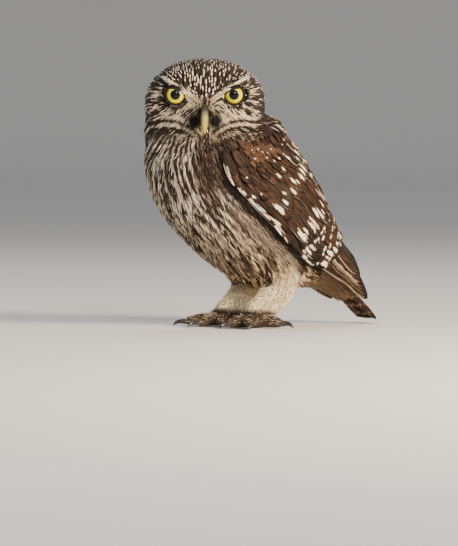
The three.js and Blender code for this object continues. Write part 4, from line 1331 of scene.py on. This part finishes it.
def add_eye(name, side):
    """The globe: a ball with its pole to the front, and a cornea that stands out from it."""
    bpy.ops.object.select_all(action="DESELECT")
    bpy.ops.mesh.primitive_uv_sphere_add(segments=48, ring_count=36, radius=EYE_RADIUS * MM)
    eye = bpy.context.object
    eye.name = eye.data.name = name
    for face in eye.data.polygons:
        face.use_smooth = True
    local = np.array([v.co for v in eye.data.vertices]) / MM
    radius = np.hypot(local[:, 0], local[:, 1])
    front = (local[:, 2] > 0) * (1 - smooth(radius, 4.0, 6.6))
    local[:, 2] += 0.75 * front
    local[:, 2] -= 0.5 * (local[:, 2] > 0) * (1 - smooth(np.abs(radius - 6.4), 0, 1.2))
    points = from_head(side * EYE_X + local[:, 0], EYE_OUT + local[:, 2], EYE_Z + local[:, 1])
    move_points(eye.data, points)
    angle = np.arctan2(local[:, 1], local[:, 0])
    keep(eye.data, "gaze", np.stack([radius, np.cos(angle), np.sin(angle)], 1))
    face_outward(eye)
    eye.data.materials.append(eye_finish)
    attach(eye, "root")
    return eye


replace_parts(add_eye("globe_left", 1), "eye_left")
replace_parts(add_eye("globe_right", -1), "eye_right")


# The lids: black bare rims round the eyes. The upper one lies low and slopes down to the bill,
# which gives the bird its frown.
bare_skin, shader, add, link = fresh_material("lid_skin")
wrinkle = add("TexNoise", Vector=add("TexCoord").outputs["Object"], Scale=1400.0, Detail=3.0)
lid_tone = add("MixRGB", Fac=wrinkle.outputs["Fac"],
               Color1=(0.004, 0.003, 0.003, 1), Color2=(0.014, 0.011, 0.009, 1))
link(lid_tone.outputs[0], shader.inputs["Base Color"])
roughen(shader, add, link, wrinkle.outputs["Fac"], 0.5, 0.0002)
shader.inputs["Roughness"].default_value = 0.6
shader.inputs["Specular IOR Level"].default_value = 0.2
OPENING, LID_REACH = 6.0, math.radians(66)  # half the width of the gap, and the lids' outer rim
LID_SECTION = np.array([  # share of the way out over the lid, height over the globe
    (0.0, -0.8), (0.0, 0.05), (0.03, 0.50), (0.12, 0.80),
    (0.26, 0.85), (0.50, 0.65), (0.78, 0.1), (1.0, -1.4),
])


def add_lids(name, side):
    """A ring over the globe, its opening round below and cut by a sloping line above."""
    turn = np.linspace(0, 2 * math.pi, 73)[:-1]
    lateral, up = np.cos(turn), np.sin(turn)
    slope, cut, blend, nowhere = 0.42, 2.4, 0.9, 99.0
    steep = up - slope * lateral
    to_line = np.where(steep > 0.05, cut / np.maximum(steep, 0.05), nowhere)
    opening = -blend * np.log(np.exp(-OPENING / blend) + np.exp(-to_line / blend))
    inner = np.arcsin(np.clip(opening / EYE_RADIUS, 0, 0.99))
    share, height = LID_SECTION.T
    angle = inner[:, None] + (LID_REACH - inner[:, None]) * share
    radius = EYE_RADIUS + height
    x = np.sin(angle) * radius * lateral[:, None]
    z = np.sin(angle) * radius * up[:, None]
    points = from_head(side * (EYE_X + x), EYE_OUT + np.cos(angle) * radius, EYE_Z + z)
    rows, columns = len(turn), len(share)
    faces = []
    for r in range(rows):
        for c in range(columns):
            a, b = r * columns + c, ((r + 1) % rows) * columns + c
            step = 1 if c < columns - 1 else 1 - columns
            faces.append([a, b, b + step, a + step][:: -side])
    lids = mesh_piece(name, points.reshape(-1, 3), faces)
    face_outward(lids)
    bpy.ops.object.shade_smooth()
    lids.data.materials.append(bare_skin)
    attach(lids, "root")


add_lids("lids_left", 1)
add_lids("lids_right", -1)


# The bill: two halves of greenish yellow horn, the upper one hooked over the lower, with a
# rounded ridge, a pale tip and a nostril on each side of its soft base.
UPPER_BILL = np.array([  # out of the face, up, half the width, half the height
    [13, -7.2, 3.6, 5.0], [16, -7, 3.6, 5.0], [21.5, -6.9, 3.0, 4.6], [25.6, -8.8, 2.65, 4.0],
    [28.4, -12, 2.7, 3.3], [29.4, -16, 2.35, 2.3], [29, -19.4, 1.45, 1.3], [28, -22.2, 0.3, 0.35],
])
LOWER_BILL = np.array([
    [13, -11, 3.2, 2.4], [15, -11.5, 3.2, 2.4], [19.5, -12.4, 3, 2.3],
    [23, -14, 2.4, 1.9], [25.4, -16, 1.4, 1.1], [26.2, -17.4, 0.3, 0.3],
])
horn, shader, add, link = fresh_material("bill_horn")
horn_place = add("SeparateXYZ", Vector=kept(add, "growth")).outputs
tone = add("ValToRGB", Fac=horn_place["X"])
paint_ends(tone, (0.035, 0.033, 0.022), 0.44, (0.66, 0.48, 0.05), 0.92)
tone.color_ramp.elements.new(0.56).color = (0.25, 0.25, 0.085, 1)
tone.color_ramp.elements.new(0.72).color = (0.48, 0.41, 0.06, 1)
# Painted shade: the horn is darkened toward both sides of the bill.
aside = add("Math", {"operation": "ABSOLUTE"}, _0=horn_place["Y"])
aside = add("Math", {"operation": "POWER"}, _0=aside, _1=1.8)
shaded_sides = add("MixRGB", {"blend_type": "MULTIPLY"}, Fac=aside, Color1=tone,
              Color2=(0.22, 0.23, 0.20, 1))
along_horn = add("Math", {"operation": "MULTIPLY"}, _0=horn_place["X"], _1=3.0)
grain_place = add("CombineXYZ", X=along_horn, Y=horn_place["Y"], Z=horn_place["Z"])
growth = add("TexNoise", Vector=grain_place, Scale=5.0, Detail=4.0).outputs["Fac"]
streaked = add("MixRGB", {"blend_type": "OVERLAY"}, Fac=0.4, Color1=shaded_sides, Color2=growth)
link(streaked.outputs[0], shader.inputs["Base Color"])
roughen(shader, add, link, growth, 0.25, 0.0002)
shader.inputs["Roughness"].default_value = 0.42
shader.inputs["Coat Weight"].default_value = 0.12
shader.inputs["Coat Roughness"].default_value = 0.25


def horn_piece(name, centres, across, wide, tall, ridge, sides=28):
    """A closed tapering horn round a curve of centres, with a ridge along its outer side."""
    ahead = unit(np.gradient(centres, axis=0))
    over = unit(np.cross(across, ahead))
    turn = np.linspace(0, 2 * math.pi, sides + 1)[:-1]
    beside, above = np.cos(turn), np.sin(turn)
    sideways = beside * (1 - ridge * np.clip(above, 0, 1) ** 2)
    upward = above * (1 + 0.4 * ridge * above**3)
    rings = centres[:, None] + across * sideways[None, :, None] * wide[:, None, None]
    rings = rings + over[:, None] * upward[None, :, None] * tall[:, None, None]
    rows = len(centres)
    faces = [list(range(sides))[::-1], [(rows - 1) * sides + j for j in range(sides)]]
    for r in range(rows - 1):
        for j in range(sides):
            a, b = r * sides + j, r * sides + (j + 1) % sides
            faces.append([a, b, b + sides, a + sides])
    piece = mesh_piece(name, rings.reshape(-1, 3), faces)
    growth = np.broadcast_arrays(np.linspace(0, 1, rows)[:, None], beside, above)
    keep(piece.data, "growth", np.stack(growth, -1))
    face_outward(piece)
    bpy.ops.object.shade_smooth()
    return piece


HEAD_LEFT = from_head(1, 0, 0) - HEAD_AT
BILL_HALVES = (
    ("bill_upper", "beak_upper", UPPER_BILL, 0.16),
    ("bill_lower", "beak_lower", LOWER_BILL, 0.0),
)
for name, node, stations, ridge in BILL_HALVES:
    out, up, wide, tall = curve_through(stations, np.linspace(0, len(stations) - 1, 56)).T
    half = horn_piece(name, from_head(0, out, up), HEAD_LEFT, wide, tall, ridge)
    if node == "beak_upper":
        points = points_of(half.data)
        for side in (-1, 1):
            nostril = from_head(side * 3.0, 22.8, -5.2)
            away = np.linalg.norm((points - nostril) * np.array([1, 1, 1.3]), axis=1)
            points += 0.9 * (1 - smooth(away, 0.2, 1.1))[:, None] * -side * HEAD_LEFT
        move_points(half.data, points)
    half.data.materials.append(horn)
    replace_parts(half, node)
    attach(half, "root")


# The claws: needle-sharp curved talons of glossy black-brown horn, each growing out of the end
# of its toe.
TOES = {  # turn from straight ahead to the outside, toe and claw length
    "left": {
        "inner": (8, 17, 9.5), "middle": (50, 19, 10.5),
        "outer": (124, 18, 9), "hind": (196, 13, 8),
    },
    "right": {
        "inner": (-50, 17, 9.5), "middle": (-9, 20, 10.5),
        "outer": (36, 21, 10.5), "hind": (166, 13, 8),
    },
}
TOE_START, CLAW_SINK = 4.2, 0.35  # from the sole's middle, and the share of a claw in its toe
CLAW_ROOT_HEIGHT, CLAW_TIP_HEIGHT, CLAW_START = 3.2, 0.42, -0.25
claw_horn, shader, add, link = fresh_material("claw_horn")
claw_place = kept(add, "growth")
tone = add("ValToRGB", Fac=add("SeparateXYZ", Vector=claw_place).outputs["X"])
paint_ends(tone, (0.060, 0.042, 0.032), 0.15, (0.012, 0.010, 0.010), 0.55)
link(tone.outputs[0], shader.inputs["Base Color"])
ridges = add("TexNoise", Vector=claw_place, Scale=6.0, Detail=3.0)
roughen(shader, add, link, ridges.outputs["Fac"], 0.3, 0.0002)
shader.inputs["Roughness"].default_value = 0.24
shader.inputs["Coat Weight"].default_value = 0.4
shader.inputs["Coat Roughness"].default_value = 0.12
for side, sign in (("left", 1), ("right", -1)):
    for toe, (turn, length, claw) in TOES[side].items():
        turn = math.radians(turn)
        ahead = np.array([sign * math.sin(turn), -math.cos(turn), 0])
        across = np.cross([0, 0, 1.0], ahead)
        base = SOLES[side] + ahead * (TOE_START + length)
        t = np.linspace(-CLAW_SINK, 1, 30)
        bend = claw / 1.75
        angle = CLAW_START + 1.7 * np.clip(t, 0, 1)
        forward = bend * (np.sin(angle) - math.sin(CLAW_START)) + np.clip(t, -1, 0) * 7
        curve = bend * (math.cos(CLAW_START) - np.cos(angle))
        droop = min(0.75, (CLAW_ROOT_HEIGHT - CLAW_TIP_HEIGHT) / curve[-1])
        centres = base + forward[:, None] * ahead
        centres[:, 2] = CLAW_ROOT_HEIGHT - curve * droop
        taper = np.clip(t, 0, 1)
        wide, tall = 1.55 - 1.3 * taper**1.2, 1.8 - 1.5 * taper**1.2
        talon = horn_piece(f"talon_{toe}_{side}", centres, across, wide, tall, 0.1, sides=16)
        talon.data.materials.append(claw_horn)
        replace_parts(talon, f"claw_{toe}_{side}")
        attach(talon, "root")

# The skin's own finish: fine down close to the body, with the same markings as the feathers
# over it, the painted shadow and shade among them, so that no gap between them shows another
# colour.
skin_colour = head_colour(skin_points, face_streak(skin_points))
foot = 1 - smooth(skin_points[:, 2], 8.5, 12)
keep(skin.data, "ground", tinted(skin_colour, TOE_BROWN, foot))
down, shader, add, link = fresh_material("down")
fluff = add("TexNoise", Vector=add("TexCoord").outputs["Object"], Scale=900.0, Detail=4.0)
shade = add("MapRange", Value=fluff.outputs["Fac"])
shade.inputs["To Min"].default_value, shade.inputs["To Max"].default_value = 0.45, 0.95
downy = add("MixRGB", {"blend_type": "MULTIPLY"}, Fac=1.0, Color1=kept(add, "ground"), Color2=shade)
link(downy.outputs[0], shader.inputs["Base Color"])
roughen(shader, add, link, fluff.outputs["Fac"], 0.6, 0.0004)
shader.inputs["Roughness"].default_value = 0.85
skin.data.materials.append(down)
